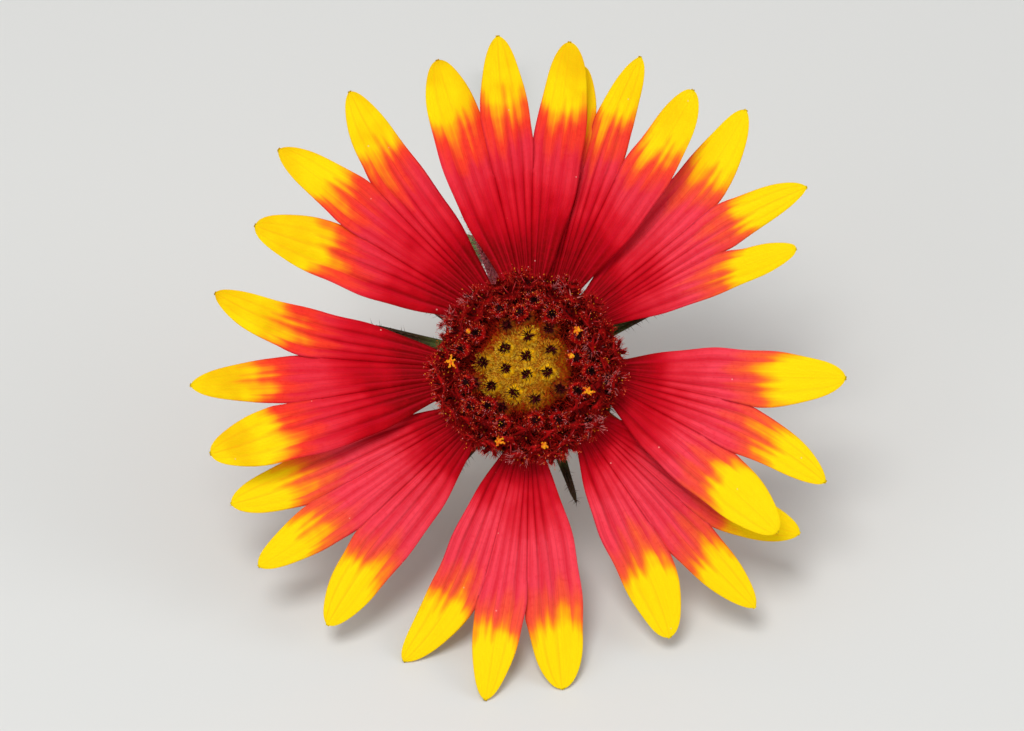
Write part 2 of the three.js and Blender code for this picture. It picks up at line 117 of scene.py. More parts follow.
class StageSettings(bpy.types.PropertyGroup):
    floor: colour("Floor", "Colour of the floor", 224, 224, 220)
    floor_width: FloatProperty(
        name="Floor Width", description="Width of the floor", default=6, min=1, unit="LENGTH"
    )


# ---- The solids' own measures, in millimetres -------------------------------------------------

BLOOM_LEAN = math.radians(45)
BLOOM_HEIGHT = 18.1
STEM_RADIUS = 1.1
STEM_CORNER_RADIUS = STEM_RADIUS / math.cos(math.pi / 10)
STEM_END_Y = 59
DISC_CENTRE = Vector((0.75, -0.17))
DISC_TOP_SHIFT = Vector((-0.83, 0.5))
DISC_SHOULDER = 1.9
DISC_TOP = 6.0
GOLDEN_ANGLE = math.pi * (3 - math.sqrt(5))
INVOLUCRE_DROP = 0.3

STEM_BOX_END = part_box("stem")[1]
FLOWER = Matrix.Translation((
    STEM_BOX_END.x - (DISC_CENTRE.x + STEM_CORNER_RADIUS) * MM,
    STEM_BOX_END.y - STEM_END_Y * MM,
    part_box("leaf_1")[0].z,
)) @ Matrix.Scale(MM, 4)
BLOOM = FLOWER @ Matrix.Translation((0, 0, BLOOM_HEIGHT)) @ Matrix.Rotation(BLOOM_LEAN, 4, "X")

# Root angle in degrees, level, twist end, notch and resting on its tips; then the tip radius and
# angle, half-width, bow and tip height of each of the three lobes.
RAYS = [
    (93.4, 0.9, 0.4, 0.48, False,
     [(26.3, 105.4, 2.4, 0.35, 2.6), (27.4, 94.2, 2.25, 0.15, 3.0), (27.1, 81.7, 2.15, -0.4, 3.0)]),
    (72.2, 0, 0.4, 0.52, False,
     [(25.5, 78.8, 1.9, -0.1, 1.2), (27.5, 69.2, 1.95, 0.35, 2.0), (26.9, 58.4, 2.1, -0.5, 2.4)]),
    (43.2, 0, 0.4, 0.56, False,
     [(28.4, 49.0, 2.3, -0.85, 0.2), (27.9, 32.4, 2.1, 0.45, 1.5), (24.7, 23.5, 1.6, 0.1, 1.7)]),
    (-6.0, 0.2, 0.4, 0.48, False,
     [(26.8, -1.8, 2.5, -0.2, 1.6), (26.8, -20.6, 2.15, 0.9, 2.0), (25.0, -32.8, 2.5, 0.2, 2.9)]),
    (-44.1, 0, 0.4, 0.49, False,
     [(27.0, -30.8, 2.25, -0.75, -1.1), (27.8, -45.8, 2.25, -0.15, 0.1), (25.6, -61.3, 2.5, 0.35, -0.4)]),
    (-94.8, 0, 1, 0.53, True,
     [(26.8, -82.8, 2.6, 0.2, 0), (27.6, -96.3, 2.3, 0.05, 0), (26.4, -112.0, 2.2, 1.0, 0)]),
    (-141.7, 0, 1, 0.53, False,
     [(26.8, -127.1, 2.4, -0.25, 0.1), (27.4, -143.0, 2.2, 0.1, 0.5), (26.7, -154.9, 2.25, 0.2, 0)]),
    (-177.7, 0.4, 0.4, 0.52, False,
     [(26.6, -164.6, 2.6, 0.15, 3.0), (27.4, -177.0, 2.05, -0.1, 2.3), (26.1, 166.3, 2.0, 0.75, 2.0)]),
    (126.6, 0, 1, 0.55, False,
     [(25.0, 151.9, 2.5, -0.15, 2.0), (27.0, 138.1, 2.25, -0.3, 2.3), (26.9, 122.0, 2.15, 0.5, 2.0)]),
]
# How much painted light each ray floret gets, from -0.5 to 0.5. The upper ray florets are low and are
# painted as if in shade: darker, deeper red, less pink and ochre at their yellow tips. The lower ones are
# high and are painted paler and pinker, as if lit.
RAY_PAINTED_LIGHT = (-0.38, -0.2, 0.1, 0.12, 0.5, 0.4, 0.25, -0.42, -0.3)
RAY_ROOT_RADIUS = 6.6
RAY_ROOT_HEIGHT = 0.32
RAY_HALF_THICKNESS = 0.32
RAY_LOBE_ROOT_SPACING = 0.87
RAY_ARCH = 0.25
LOBE_OVERLAP = 0.07


def lerp(start, end, share):
    return start + (end - start) * share


def smoothstep(value, start, end):
    share = min(1, max(0, (value - start) / (end - start)))
    return share * share * (3 - 2 * share)


def polar(radius, degrees):
    angle = math.radians(degrees)
    return Vector((radius * math.cos(angle), radius * math.sin(angle)))


def spoke(angle):
    """The level direction at an angle round an upright axis."""
    return Vector((math.cos(angle), math.sin(angle), 0))


def jitter(chance, reach):
    """A random vector, with each part from -reach to reach."""
    return Vector([chance.uniform(-reach, reach) for _ in range(3)])


class Seeded:
    """The solids' own run of pseudo-random numbers, so that the pieces land where they do."""

    def __init__(self, seed):
        self.state = seed
        self()

    def __call__(self):
        self.state = (self.state + 0x6D2B79F5) & 0xFFFFFFFF
        mixed = self.state
        mixed = ((mixed ^ mixed >> 15) * (mixed | 1)) & 0xFFFFFFFF
        mixed ^= (mixed + (mixed ^ mixed >> 7) * (mixed | 61)) & 0xFFFFFFFF
        return (mixed ^ mixed >> 14) / 4294967296


# ---- Pieces and finishes ----------------------------------------------------------------------


def way_round(vert):
    """How far round the upright axis a point lies, from 0 to 1."""
    return math.atan2(vert.co.y, vert.co.x) / math.tau + 0.5


def lay_uvs(bm, faces, spot):
    """Gives the faces' corners their UVs: how far spot(vert) says each is round and along."""
    layer = bm.loops.layers.uv.get("along") or bm.loops.layers.uv.new("along")
    for face in faces:
        for loop in face.loops:
            loop[layer].uv = spot(loop.vert)


def add_piece(name, bm, place, materials, replaces=()):
    """An object from a bmesh moved to its place, riding on the flower's one body."""
    bm.transform(place)
    mesh = bpy.data.meshes.new(name)
    bm.to_mesh(mesh)
    bm.free()
    for material in materials:
        mesh.materials.append(material)
    mesh.shade_smooth()
    piece = bpy.data.objects.new(name, mesh)
    bpy.context.scene.collection.objects.link(piece)
    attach(piece, "root")
    if replaces:
        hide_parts(*replaces)
    return piece


class Finish:
    """A material and the nodes that make its colour, roughness and relief."""

    def __init__(self, name, **constants):
        self.material = bpy.data.materials.new(name)
        self.material.use_nodes = True
        self.tree = self.material.node_tree
        self.surface = self.tree.nodes["Principled BSDF"]
        for socket, value in constants.items():
            self.surface.inputs[socket.replace("_", " ")].default_value = value

    def feed(self, socket, source):
        if isinstance(source, bpy.types.NodeSocket):
            self.tree.links.new(source, socket)
        else:
            value = (*source, 1) if socket.type == "RGBA" and len(source) == 3 else source
            socket.default_value = value

    def node(self, kind, *sources, settings=(), named=()):
        """A node with its inputs fed in order, and some by name."""
        node = self.tree.nodes.new("ShaderNode" + kind)
        for key, value in dict(settings).items():
            setattr(node, key, value)
        for socket, source in zip(node.inputs, sources):
            self.feed(socket, source)
        for key, source in dict(named).items():
            self.feed(node.inputs[key], source)
        return node

    def math(self, operation, *values):
        return self.node("Math", *values, settings={"operation": operation}).outputs[0]

    def fade(self, value, start, end, low=0, high=1):
        """Runs smoothly from low at start to high at end."""
        smooth = {"interpolation_type": "SMOOTHSTEP"}
        return self.node("MapRange", value, start, end, low, high, settings=smooth).outputs[0]

    def mix(self, share, first, second):
        node = self.node("Mix", settings={"data_type": "RGBA"})
        for index, source in ((0, share), (6, first), (7, second)):
            self.feed(node.inputs[index], source)
        return node.outputs[2]

    def tint(self, shade, other, value, start, end, low=0, high=1):
        """The shade, turned towards the other as the value runs from start to end."""
        return self.mix(self.fade(value, start, end, low, high), shade, other)

    def ramp(self, value, *stops):
        node = self.node("ValToRGB", value)
        elements = node.color_ramp.elements
        while len(elements) < len(stops):
            elements.new(1)
        for element, (place, shade) in zip(elements, stops):
            element.position = place
            element.color = (*shade, 1)
        return node.outputs[0]

    def place(self):
        return self.node("TexCoord").outputs["Object"]

    def uv(self):
        return self.node("UVMap", settings={"uv_map": "along"}).outputs[0]

    def uv_parts(self):
        """How far round or across its piece a point lies and how far along, each from 0 to 1."""
        return self.node("SeparateXYZ", self.uv()).outputs[:2]

    def attribute(self, name):
        return self.node("Attribute", settings={"attribute_name": name}).outputs["Fac"]

    def noise(self, vector, scale, detail, roughness):
        measures = {"Scale": scale, "Detail": detail, "Roughness": roughness}
        return self.node("TexNoise", vector, named=measures).outputs[0]

    def mottle(self, scale, detail, roughness):
        """Noise all through the piece."""
        return self.noise(self.place(), scale, detail, roughness)

    def streaks(self, stretch, detail, roughness):
        """Noise drawn out along the piece."""
        stretched = self.node("Mapping", self.uv(), named={"Scale": stretch}).outputs[0]
        return self.noise(stretched, 1, detail, roughness)

    def finish(self, shade, roughness, relief=None, depth=0.05):
        """Feeds the surface and gives the material. depth is the relief's, in millimetres."""
        self.feed(self.surface.inputs["Base Color"], shade)
        self.feed(self.surface.inputs["Roughness"], roughness)
        if relief is not None:
            bump = self.node("Bump", named={"Height": relief, "Distance": depth * MM})
            self.feed(self.surface.inputs["Normal"], bump.outputs[0])
        return self.material


# ---- Hairs ------------------------------------------------------------------------------------


def hair_template(bend):
    """A three-sided hair along +Z, one long and one thick, bent towards +X by bend thicknesses."""
    bm = bmesh.new()
    bmesh.ops.create_cone(bm, cap_ends=True, segments=3, radius1=1, radius2=0, depth=1)
    bmesh.ops.translate(bm, vec=(0, 0, 0.5), verts=bm.verts)
    bmesh.ops.remove_doubles(bm, verts=bm.verts, dist=1e-5)
    sides = [edge for edge in bm.edges if abs(edge.verts[0].co.z - edge.verts[1].co.z) > 0.5]
    bmesh.ops.subdivide_edges(bm, edges=sides, cuts=1, use_grid_fill=True)
    for vert in bm.verts:
        if 0.4 < vert.co.z < 0.6:
            vert.co.xy *= 1.4
    for vert in bm.verts:
        vert.co.x += bend * vert.co.z**2
    lay_uvs(bm, bm.faces, lambda vert: (0.5, vert.co.z))
    bm.verts.layers.float.new("tone")
    return bm


def hair_placing(root, direction, length, radius, roll):
    """Where a hair's template goes for a hair with this root, direction and size."""
    return (
        Matrix.Translation(root)
        @ direction.to_track_quat("Z", "X").to_matrix().to_4x4()
        @ Matrix.Rotation(roll, 4, "Z")
        @ Matrix.Diagonal((radius, radius, length, 1))
    )


def repeated(template, placings):
    """A bmesh with a copy of the template at each (placing, tone)."""
    result = bmesh.new()
    stamp = bpy.data.meshes.new("stamp")
    for placing, tone in placings:
        copy = template.copy()
        layer = copy.verts.layers.float["tone"]
        for vert in copy.verts:
            vert[layer] = tone
        copy.transform(placing)
        copy.to_mesh(stamp)
        copy.free()
        result.from_mesh(stamp)
    bpy.data.meshes.remove(stamp)
    template.free()
    return result


def add_copies(name, template, placings, place, material):
    """A piece made of a copy of the template at each (placing, tone)."""
    add_piece(name, repeated(template, placings), place, [material])


def moved(hairs, place):
    """The (placing, tone) pairs taken from a floret's own frame to its place."""
    return [(place @ placing, tone) for placing, tone in hairs]


def hair_finish(name, root, middle, tip, pale):
    """Hairs that lighten to their tips, and are pale where their tone passes 0.93. On the disc's hairs
    and tufts the pale ones are painted glints; on the downy bract they are its own rosy hairs.
    """
    look = Finish(name, Specular_IOR_Level=0.06)
    _, along = look.uv_parts()
    shade = look.ramp(along, (0, root), (0.55, middle), (1, tip))
    tone = look.attribute("tone")
    # pale: painted glints on the disc's hairs and tufts, the downy bract's own rosy hairs
    light = look.tint(shade, pale, tone, 0.92, 0.95)
    dusky = look.tint(light, root, tone, 0.6, 0.0, 0, 0.65)
    return look.finish(dusky, 0.6)


# ---- Ray florets ------------------------------------------------------------------------------

LOBE_COLUMNS = 32
CLAW_ROWS = 36
LOBE_ROWS = 48
GROOVE_SPACING = 0.5
VEIN_WANDER = 0.06
LOBE_CROSSING = 0.16  # how far a lobe's edge passes over or under its neighbour's
EDGE_CURL = 0.25
BLADE_SWELL = 0.35
TIP_DROP = 0.17  # lets the tips of a blade thinner than its solid down to the surface
TIP_POINT = 0.06


class RayShape:
    """The blade of one ray floret, as a formula of a lobe's number, along (0 to 1) and across."""

    def __init__(self, root, level, twist_end, notch, rests_on_tips, lobes, seed):
        self.root = polar(RAY_ROOT_RADIUS, root) + DISC_CENTRE
        self.level, self.twist_end, self.notch = level, twist_end, notch
        self.rests_on_tips, self.seed = rests_on_tips, seed
        tips = [polar(radius, degrees) for radius, degrees, *_ in lobes]
        self.outward = (polar(1, root) + (tips[1] - self.root).normalized()).normalized()
        self.sideways = Vector((-self.outward.y, self.outward.x))
        self.lobes = []
        for index, (lobe, tip) in enumerate(zip(lobes, tips)):
            reach = tip - self.root
            height = lobe[4]
            if rests_on_tips:
                surface = -(BLOOM_HEIGHT + tip.y * math.sin(BLOOM_LEAN)) / math.cos(BLOOM_LEAN)
                height = surface + RAY_HALF_THICKNESS
            self.lobes.append({
                "root_offset": (1 - index) * RAY_LOBE_ROOT_SPACING,
                "length": reach.dot(self.outward),
                "tip_offset": reach.dot(self.sideways),
                "half_width": lobe[2],
                "bow": lobe[3],
                "tip_height": height,
            })

    def centre(self, index, along):
        """The middle line of a lobe, seen from the front."""
        lobe = self.lobes[index]
        swing = lobe["bow"] * along**2 * (1 - along) / (0.75**2 * 0.25)
        spread = lobe["root_offset"] * (1 - along) ** 2 + lobe["tip_offset"] * along + swing
        return self.root + self.outward * lobe["length"] * along + self.sideways * spread

    def half_width(self, index, along):
        swell = math.sin(math.pi * min(along, 0.5)) ** 1.1
        point = math.sqrt(max(0, 1 - max(0, 2 * along - 1) ** 2.6))
        wave = 1 + 0.022 * math.sin(23 * along + 2.1 * index + self.seed)
        return max(0.04, self.lobes[index]["half_width"] * (0.25 + 0.72 * swell) * point * wave)

    def edge(self, index, along, side):
        """A lobe's side, seen from the front: half-way to its neighbour as far as the notch."""
        centre = self.centre(index, along)
        half_width = self.half_width(index, along)
        neighbour = index - side
        if not 0 <= neighbour <= 2:
            ahead = (self.centre(index, along + 0.01) - centre).normalized()
            return centre + Vector((-ahead.y, ahead.x)) * side * half_width
        other = self.centre(neighbour, along)
        if along <= self.notch:
            return centre.lerp(other, 0.5)
        half_gap = (other - centre).length / 2
        freed = smoothstep(along, self.notch, self.notch + 0.2)
        reach = min(half_gap + LOBE_OVERLAP, lerp(half_gap + LOBE_OVERLAP, half_width, freed))
        return centre + (other - centre).normalized() * reach

    def height(self, along, across, across_lobe):
        """How high the blade stands. across spans the three lobes, and across_lobe one of them."""
        first, middle, last = (lobe["tip_height"] for lobe in self.lobes)
        mean = (first + middle + last) / 3
        place = min(1.2, max(-1.2, across))
        tip = middle + place * (first - last) / 2 + place**2 * ((first + last) / 2 - middle)
        twist = smoothstep(along, 0, self.twist_end)
        arch = RAY_ARCH * math.sin(math.pi * along) * across_lobe**2
        return lerp(RAY_ROOT_HEIGHT + self.level, mean, along**1.2) + (tip - mean) * twist - arch

    def groove(self, index, across):
        """How strong the nearest vein's groove is, from 0.1 to 1. It is 1 between two lobes."""
        number = round(across / GROOVE_SPACING)
        if abs(number) == 2:
            return 1 if 0 <= index - number / 2 <= 2 else 0.3
        return 0.55 + 0.45 * math.sin(7.3 * number + 3.1 * index + 5.7 * self.seed)

    def point(self, index, along, across, groove_depth):
        """A point of the finished blade: grooved, with lobes that overlap at the slits."""
        wander = VEIN_WANDER * math.sin(5 * along + 1.7 * index + self.seed) * (1 - across**2)
        shifted = across + wander
        side = 1 if shifted >= 0 else -1
        centre = self.centre(index, along)
        flat = centre.lerp(self.edge(index, along, side), abs(shifted))
        level = 1 - smoothstep(along, self.notch, 1)
        height = self.height(along, 1 - index + 0.5 * shifted * level, shifted)
        number = round(across / GROOVE_SPACING)
        from_groove = min(1, abs(across / GROOVE_SPACING - number) * 2)
        pleat = (0.5 + 0.5 * math.cos(math.pi * from_groove)) * self.half_width(index, along) / 2.2
        if abs(number) == 2 and (along > self.notch or not 0 <= index - side <= 2):
            pleat = 0
        fade = smoothstep(along, 0, 0.12) * (1 - 0.8 * smoothstep(along, 0.68, 0.92))
        height -= groove_depth * self.groove(index, across) * pleat * fade
        freed = smoothstep(along, self.notch, self.notch + 0.05)
        neighbour = index - side
        if 0 <= neighbour <= 2:
            over = 1 if math.sin(4.1 * self.seed + 2.3 * (index + neighbour)) > 0 else -1
            apart = 1 - smoothstep(along, 0.8, 1)
            crossing = LOBE_CROSSING * over * (index - neighbour)
            height += crossing * freed * apart * abs(across) ** 3
        else:
            curl = EDGE_CURL * math.sin(2.3 * self.seed + 1.3 * index)
            height += curl * math.sin(math.pi * along) ** 2 * abs(across) ** 4
        swell = noise.noise(Vector((flat.x * 0.22, flat.y * 0.22, self.seed)))
        height += BLADE_SWELL * swell * math.sin(math.pi * along)
        if self.rests_on_tips:
            height -= TIP_DROP * smoothstep(along, 0.7, 1)
        peak = max(0, 1 - abs(across) * 1.6)
        flat += self.outward * TIP_POINT * peak * smoothstep(along, 0.985, 1)
        return Vector((flat.x, flat.y, height))


def ray_floret(shape, tone, settings):
    """The middle surface of a ray floret: three grids that share their edges up to the notch."""
    bm = bmesh.new()
    tone_layer = bm.verts.layers.float.new("tone")
    yellow_layer = bm.verts.layers.float.new("yellow_from")
    groove_layer = bm.verts.layers.float.new("groove")
    rows = CLAW_ROWS + LOBE_ROWS
    for index in range(3):
        made = bmesh.ops.create_grid(bm, x_segments=LOBE_COLUMNS, y_segments=rows, size=1)
        grid_places = {}
        for vert in made["verts"]:
            row = (vert.co.y + 1) / 2 * rows
            if row < CLAW_ROWS + 0.5:
                along = shape.notch * min(row, CLAW_ROWS) / CLAW_ROWS
            else:
                share = (row - CLAW_ROWS) / LOBE_ROWS
                along = lerp(shape.notch, 1, 1 - (1 - share) ** 1.5)
            grid_places[vert] = (-vert.co.x, along)
        faces = {face for vert in made["verts"] for face in vert.link_faces}
        lay_uvs(bm, faces, lambda vert: (0.5 - grid_places[vert][0] / 2, grid_places[vert][1]))
        lobe_length = shape.lobes[index]["length"]
        for vert, (across, along) in grid_places.items():
            vert.co = shape.point(index, along, across, settings.groove_depth / MM)
            # the tone layer carries the ray floret's painted light
            vert[tone_layer] = tone
            vert[yellow_layer] = 1 - settings.yellow_length / MM / lobe_length
            vert[groove_layer] = shape.groove(index, across)
    bmesh.ops.remove_doubles(bm, verts=bm.verts, dist=0.004)
    return bm


def petal_finish(name, settings, faded):
    """Red with painted shade in its grooves and pink ridges that are partly painted sheen, then yellow
    teeth that reach in between the veins.
    """
    names = ("deep_red", "red", "pink", "warm", "orange", "yellow")
    shades = [getattr(settings, key) for key in names]
    if faded:
        dull = (0.42, 0.3, 0.14)
        shades = [[lerp(*pair, 0.3) for pair in zip(shade, dull)] for shade in shades]
    deep, red, pink, warm, orange, yellow = shades
    look = Finish(name, Specular_IOR_Level=0.03, Subsurface_Weight=0.1, Subsurface_Scale=0.0004)
    u, along = look.uv_parts()
    across = look.math("MULTIPLY_ADD", u, 2, -1)
    from_groove = look.math("PINGPONG", look.math("ADD", across, 2), GROOVE_SPACING / 2)
    strength = look.attribute("groove")
    vein = look.math("MULTIPLY", look.fade(from_groove, 0.0, 0.12, 1, 0), strength)
    # painted shade in the grooves: the red darkens along each vein's valley
    painted_groove_shade = look.math("MULTIPLY", look.fade(from_groove, 0.0, 0.22, 1, 0), strength)
    streak = look.streaks((26, 1.6, 1), 3, 0.6)
    fibre = look.streaks((70, 3.5, 1), 2, 0.5)
    grain = look.mottle(2600, 3, 0.6)
    drift = look.mottle(300, 2, 0.5)
    # tone: the ray floret's painted light
    tone = look.attribute("tone")

    tongue = look.streaks((6, 1.2, 1), 1, 0.4)
    fold = look.streaks((8, 0.6, 1), 1, 0.4)
    reach = look.math("MULTIPLY_ADD", from_groove, -0.13, look.attribute("yellow_from"))
    edge = look.math("MULTIPLY", look.math("POWER", look.math("ABSOLUTE", across), 4), 0.05)
    start = look.math("ADD", look.math("ADD", reach, edge), look.fade(streak, 0.2, 0.8, -0.01, 0.01))
    start = look.math("ADD", start, look.fade(drift, 0.3, 0.7, -0.035, 0.035))
    start = look.math("ADD", start, look.fade(tongue, 0.3, 0.7, -0.05, 0.05))
    turned = look.math("DIVIDE", look.math("SUBTRACT", along, start), 0.15)

    # lit: how far along the blade, raised by the ray floret's painted light and lowered by painted shade
    # in the grooves; it takes the red from the deep foot to pink
    lit = look.math("MULTIPLY_ADD", tone, 0.22, along)
    lit = look.math("ADD", lit, look.fade(drift, 0.25, 0.75, -0.08, 0.05))
    lit = look.math("SUBTRACT", lit, look.math("MULTIPLY", painted_groove_shade, 0.09))
    shade = look.tint(deep, red, lit, 0.0, 0.35)
    # pink, partly the petal's own and partly a painted sheen: more on the ridges and on the ray florets
    # with more painted light
    pink_and_painted_sheen = look.math("MULTIPLY", look.fade(lit, 0.18, 0.48), look.fade(tone, -0.5, 0.25, 0.5, 1))
    shade = look.mix(pink_and_painted_sheen, shade, pink)
    # painted shade: broad darker crimson bands along the blade, standing for the shading of its folds
    shade = look.tint(shade, srgb(204, 12, 38), fold, 0.4, 0.66, 0, 0.55)
    near_orange = look.tint(srgb(250, 62, 34), warm, tone, -0.5, 0.25)
    shade = look.tint(shade, near_orange, turned, -0.8, 0.1, 0, 0.85)
    shade = look.tint(shade, red, streak, 0.48, 0.75, 0, 0.35)
    shade = look.tint(shade, deep, fibre, 0.45, 0.75, 0, 0.22)
    shade = look.tint(shade, red, grain, 0.45, 0.8, 0, 0.3)
    shade = look.mix(look.math("MULTIPLY", vein, look.fade(along, 0.85, 0.3, 0.13, 0.42)), shade, deep)

    tip_shade = look.mix(look.math("MULTIPLY", vein, 0.2), yellow, orange)
    tip_shade = look.tint(tip_shade, orange, streak, 0.5, 0.8, 0, 0.14)
    # painted shade: on the ray florets with the least painted light, the yellow tips turn ochre in
    # patches, as tips turned away from the light
    blush = look.math("MULTIPLY", look.fade(drift, 0.32, 0.72), look.fade(tone, 0.0, -0.45, 0, 0.5))
    tip_shade = look.mix(blush, tip_shade, srgb(222, 150, 2))
    change = look.tint(shade, orange, turned, 0.0, 0.65)
    shade = look.tint(change, tip_shade, turned, 0.3, 1.05)

    specks = look.node("TexVoronoi", look.place(), named={"Scale": 420}).outputs["Distance"]
    shade = look.tint(shade, (0.9, 0.5, 0.42), specks, 0.02, 0.035, 0.5, 0)
    relief = look.math("ADD", look.math("MULTIPLY", streak, 0.8), look.math("MULTIPLY", grain, 0.8))
    return look.finish(shade, look.fade(grain, 0.3, 0.7, 0.52, 0.66), relief, 0.05)


class FLOWER_OT_ray_florets(bpy.types.Operator):
    """Build the nine ray florets, three lobes each, grooved along their veins"""

    bl_idname = "flower.ray_florets"
    bl_label = "Ray Florets"

    def execute(self, context):
        settings = context.scene.flower_petals
        upper = petal_finish("Petal Face", settings, False)
        under = petal_finish("Petal Underside", settings, True)
        for number, ((*measures, lobes), tone) in enumerate(zip(RAYS, RAY_PAINTED_LIGHT), 1):
            shape = RayShape(*measures, lobes, number)
            bm = ray_floret(shape, tone, settings)
            replaced = f"ray_floret_{number:02d}"
            piece = add_piece(
                f"petal_{number:02d}", bm, BLOOM, [upper, under], [replaced]
            )
            shell = piece.modifiers.new("Thickness", "SOLIDIFY")
            shell.thickness = settings.thickness
            shell.offset = 0
            shell.material_offset = 1
        return {"FINISHED"}


# ---- Disc -------------------------------------------------------------------------------------

CAP_RADIUS = 3.45
CAP_EDGE = 4.6
CAP_TOP = 5.1
RING_ROOT_RADII = (4.05, 5.85)
RING_ROOT_HEIGHTS = (3.6, 2.75)
RING_LEANS = (math.radians(7), math.radians(70))
CENTRE_FLORETS = 18
RING_FLORETS = 62
RING_BUDS = 16  # of the ring's florets, the innermost are still closed

# Radius and height of the receptacle's top under the ring, and of the cap that closes the centre.
CORE = [(3.0, 4.4), (3.9, 4.2), (4.7, 3.8), (5.6, 3.1), (6.4, 2.35), (6.9, 1.75), (7.05, 1.4)]
CAP = [(0, 5.42), (1.2, 5.35), (2.4, 5.1), (3.3, 4.72), (3.8, 4.2)]

# The disc leans back over the ray florets, more the higher it reaches.
DISC_LEAN_HEIGHT = DISC_TOP - DISC_SHOULDER
DISC = Matrix.Translation(DISC_CENTRE.to_3d()) @ Matrix((
    (1, 0, DISC_TOP_SHIFT.x / DISC_LEAN_HEIGHT, 0),
    (0, 1, DISC_TOP_SHIFT.y / DISC_LEAN_HEIGHT, 0),
    (0, 0, 1, 0),
    (0, 0, 0, 1),
))
DISC = DISC @ Matrix.Translation(-DISC_SHOULDER / DISC_LEAN_HEIGHT * DISC_TOP_SHIFT.to_3d())

# Middles of the tufts in the centre, in the bloom's frame.
TUFTS = [
    (-1.14, 3.26), (0.57, 2.45), (-1.22, 1.47), (0.49, 0.90), (-2.94, 0.41), (-1.14, -0.08),
    (0.49, -0.57), (-3.6, -1.15), (-2.28, -1.39), (-0.57, -1.96), (1.06, -2.37), (-1.5, -3.05),
    (0.3, 3.95), (2.1, 3.05), (2.3, 1.35), (2.04, -0.34), (2.9, -1.6),
]
# How far the yellow lies off the disc's middle, and where buds and fuzz turn brown round it.
YELLOW_SHIFT = Vector((-0.2, -0.15, 0))
BUDS_BROWN = (2.1, 3.4)
FUZZ_BROWN = (2.3, 3.5)
# Fuzz farther than this from the nearest bud's axis is painted browner: painted shade in the clefts
# between the buds.
CLEFTS_PAINTED_SHADE = (0.6, 1.05)  # from the nearest bud's axis
# Places in the bloom's frame, and their radii, where this share of the ring's hairs is made pale: painted
# highlights on the hair tufts.
HIGHLIGHT_SHARE = 0.55
HIGHLIGHT_SPOTS = [
    (-5.0, 6.1, 1.1), (-6.8, 4.2, 1.2), (-0.3, -7.4, 0.8), (5.9, -4.5, 0.9), (7.3, -1.2, 0.9),
    (5.8, 1.7, 0.6), (-6.6, -4.2, 0.7), (3.0, 6.6, 0.6),
]
# Places of the pollen in the bloom's frame, and the clumps' radii.
POLLEN = [
    (-5.8, 0.5, 0.62), (4.5, 3.1, 0.42), (5.4, -1.9, 0.5), (-1.9, -6.0, 0.5), (1.8, -6.3, 0.36),
    (4.0, 1.0, 0.26), (-4.4, 3.0, 0.14),
]

# Radius at the foot, segments, and rings going up and then inwards: radius and height between the
# five points, and radius and height at the points.
OPEN_FLORET = (0.26, 25, [
    (0.3, 0.9, 0.34, 0.9), (0.42, 1.5, 0.48, 1.52), (0.5, 1.82, 0.68, 1.94),
    (0.52, 1.94, 0.98, 2.2), (0.49, 2.02, 1.02, 2.28), (0.42, 1.98, 0.7, 2.12),
    (0.33, 1.7, 0.38, 1.72), (0.24, 1.2, 0.24, 1.2),
])
CLOSED_FLORET = (0.5, 20, [
    (0.68, 0.1, 0.72, 0.1), (0.76, 0.4, 0.84, 0.42), (0.66, 0.7, 0.78, 0.76),
    (0.4, 0.88, 0.5, 0.96), (0.14, 0.9, 0.14, 0.92),
])

# Bristles of the florets: count, and ranges of height, radius, length, thickness, tilt in degrees
# and tone. RING_BUD_DOWN starts with a multiple of hairs_on_floret in place of the count.
BUD_DOWN = (260, (0.3, 1.0), (0.26, 0.86), (0.16, 0.4), (0.018, 0.032), (5, 80), (0, 1))
TUFT_POINTS = (26, (1.0, 1.18), (0.14, 0.34), (0.32, 0.56), (0.035, 0.055), (35, 90), (0, 1))
TUFT_CORE = (34, (0.86, 1.06), (0.0, 0.36), (0.14, 0.34), (0.08, 0.12), (0, 70), (0, 0.4))
RING_BUD_DOWN = (2.4, (0.35, 1.0), (0.2, 0.84), (0.24, 0.6), (0.02, 0.036), (0, 66), (0.35, 1))
RING_BUD_TUFT = (16, (0.9, 1.05), (0, 0.14), (0.3, 0.55), (0.04, 0.065), (10, 88), (0, 0.45))
ANTHER_TUBE = (14, (1.3, 1.7), (0, 0.14), (0.5, 0.95), (0.06, 0.09), (0, 26), (0, 0.3))

# Hairs that carpet the disc: profile, count, ranges of radius, length and thickness, and how much
# they lean away from the axis.
CENTRE_FUZZ = (CAP, 4200, (0, 3.8), (0.35, 0.8), (0.018, 0.034), 0)
CLEFT_FUZZ = (CORE, 1600, (3.6, 4.9), (0.7, 1.4), (0.018, 0.03), -0.3)
CENTRE_SPIKES = (CAP, 130, (0, 3.6), (0.5, 0.85), (0.03, 0.045), 0)
RING_FUR = (CORE, 4200, (3.7, 6.9), (0.9, 1.75), (0.02, 0.034), 0.25)
EDGE_FUR = (CORE, 1500, (6.5, 7.05), (0.5, 1.2), (0.02, 0.03), 1.1)

ANTHER_SHARE = 0.6  # of the open florets
GLANDS = 1500
POLLEN_ARMS = 5
POLLEN_STEPS = 5
STRAY_GRAINS = 260


def leaned(angle, lean, radius, height, spin):
    """A place on the disc at an angle and radius round its axis, leaning outwards and spun."""
    return (
        Matrix.Rotation(angle, 4, "Z")
        @ Matrix.Translation((radius, 0, height))
        @ Matrix.Rotation(lean, 4, "Y")
        @ Matrix.Rotation(spin, 4, "Z")
    )


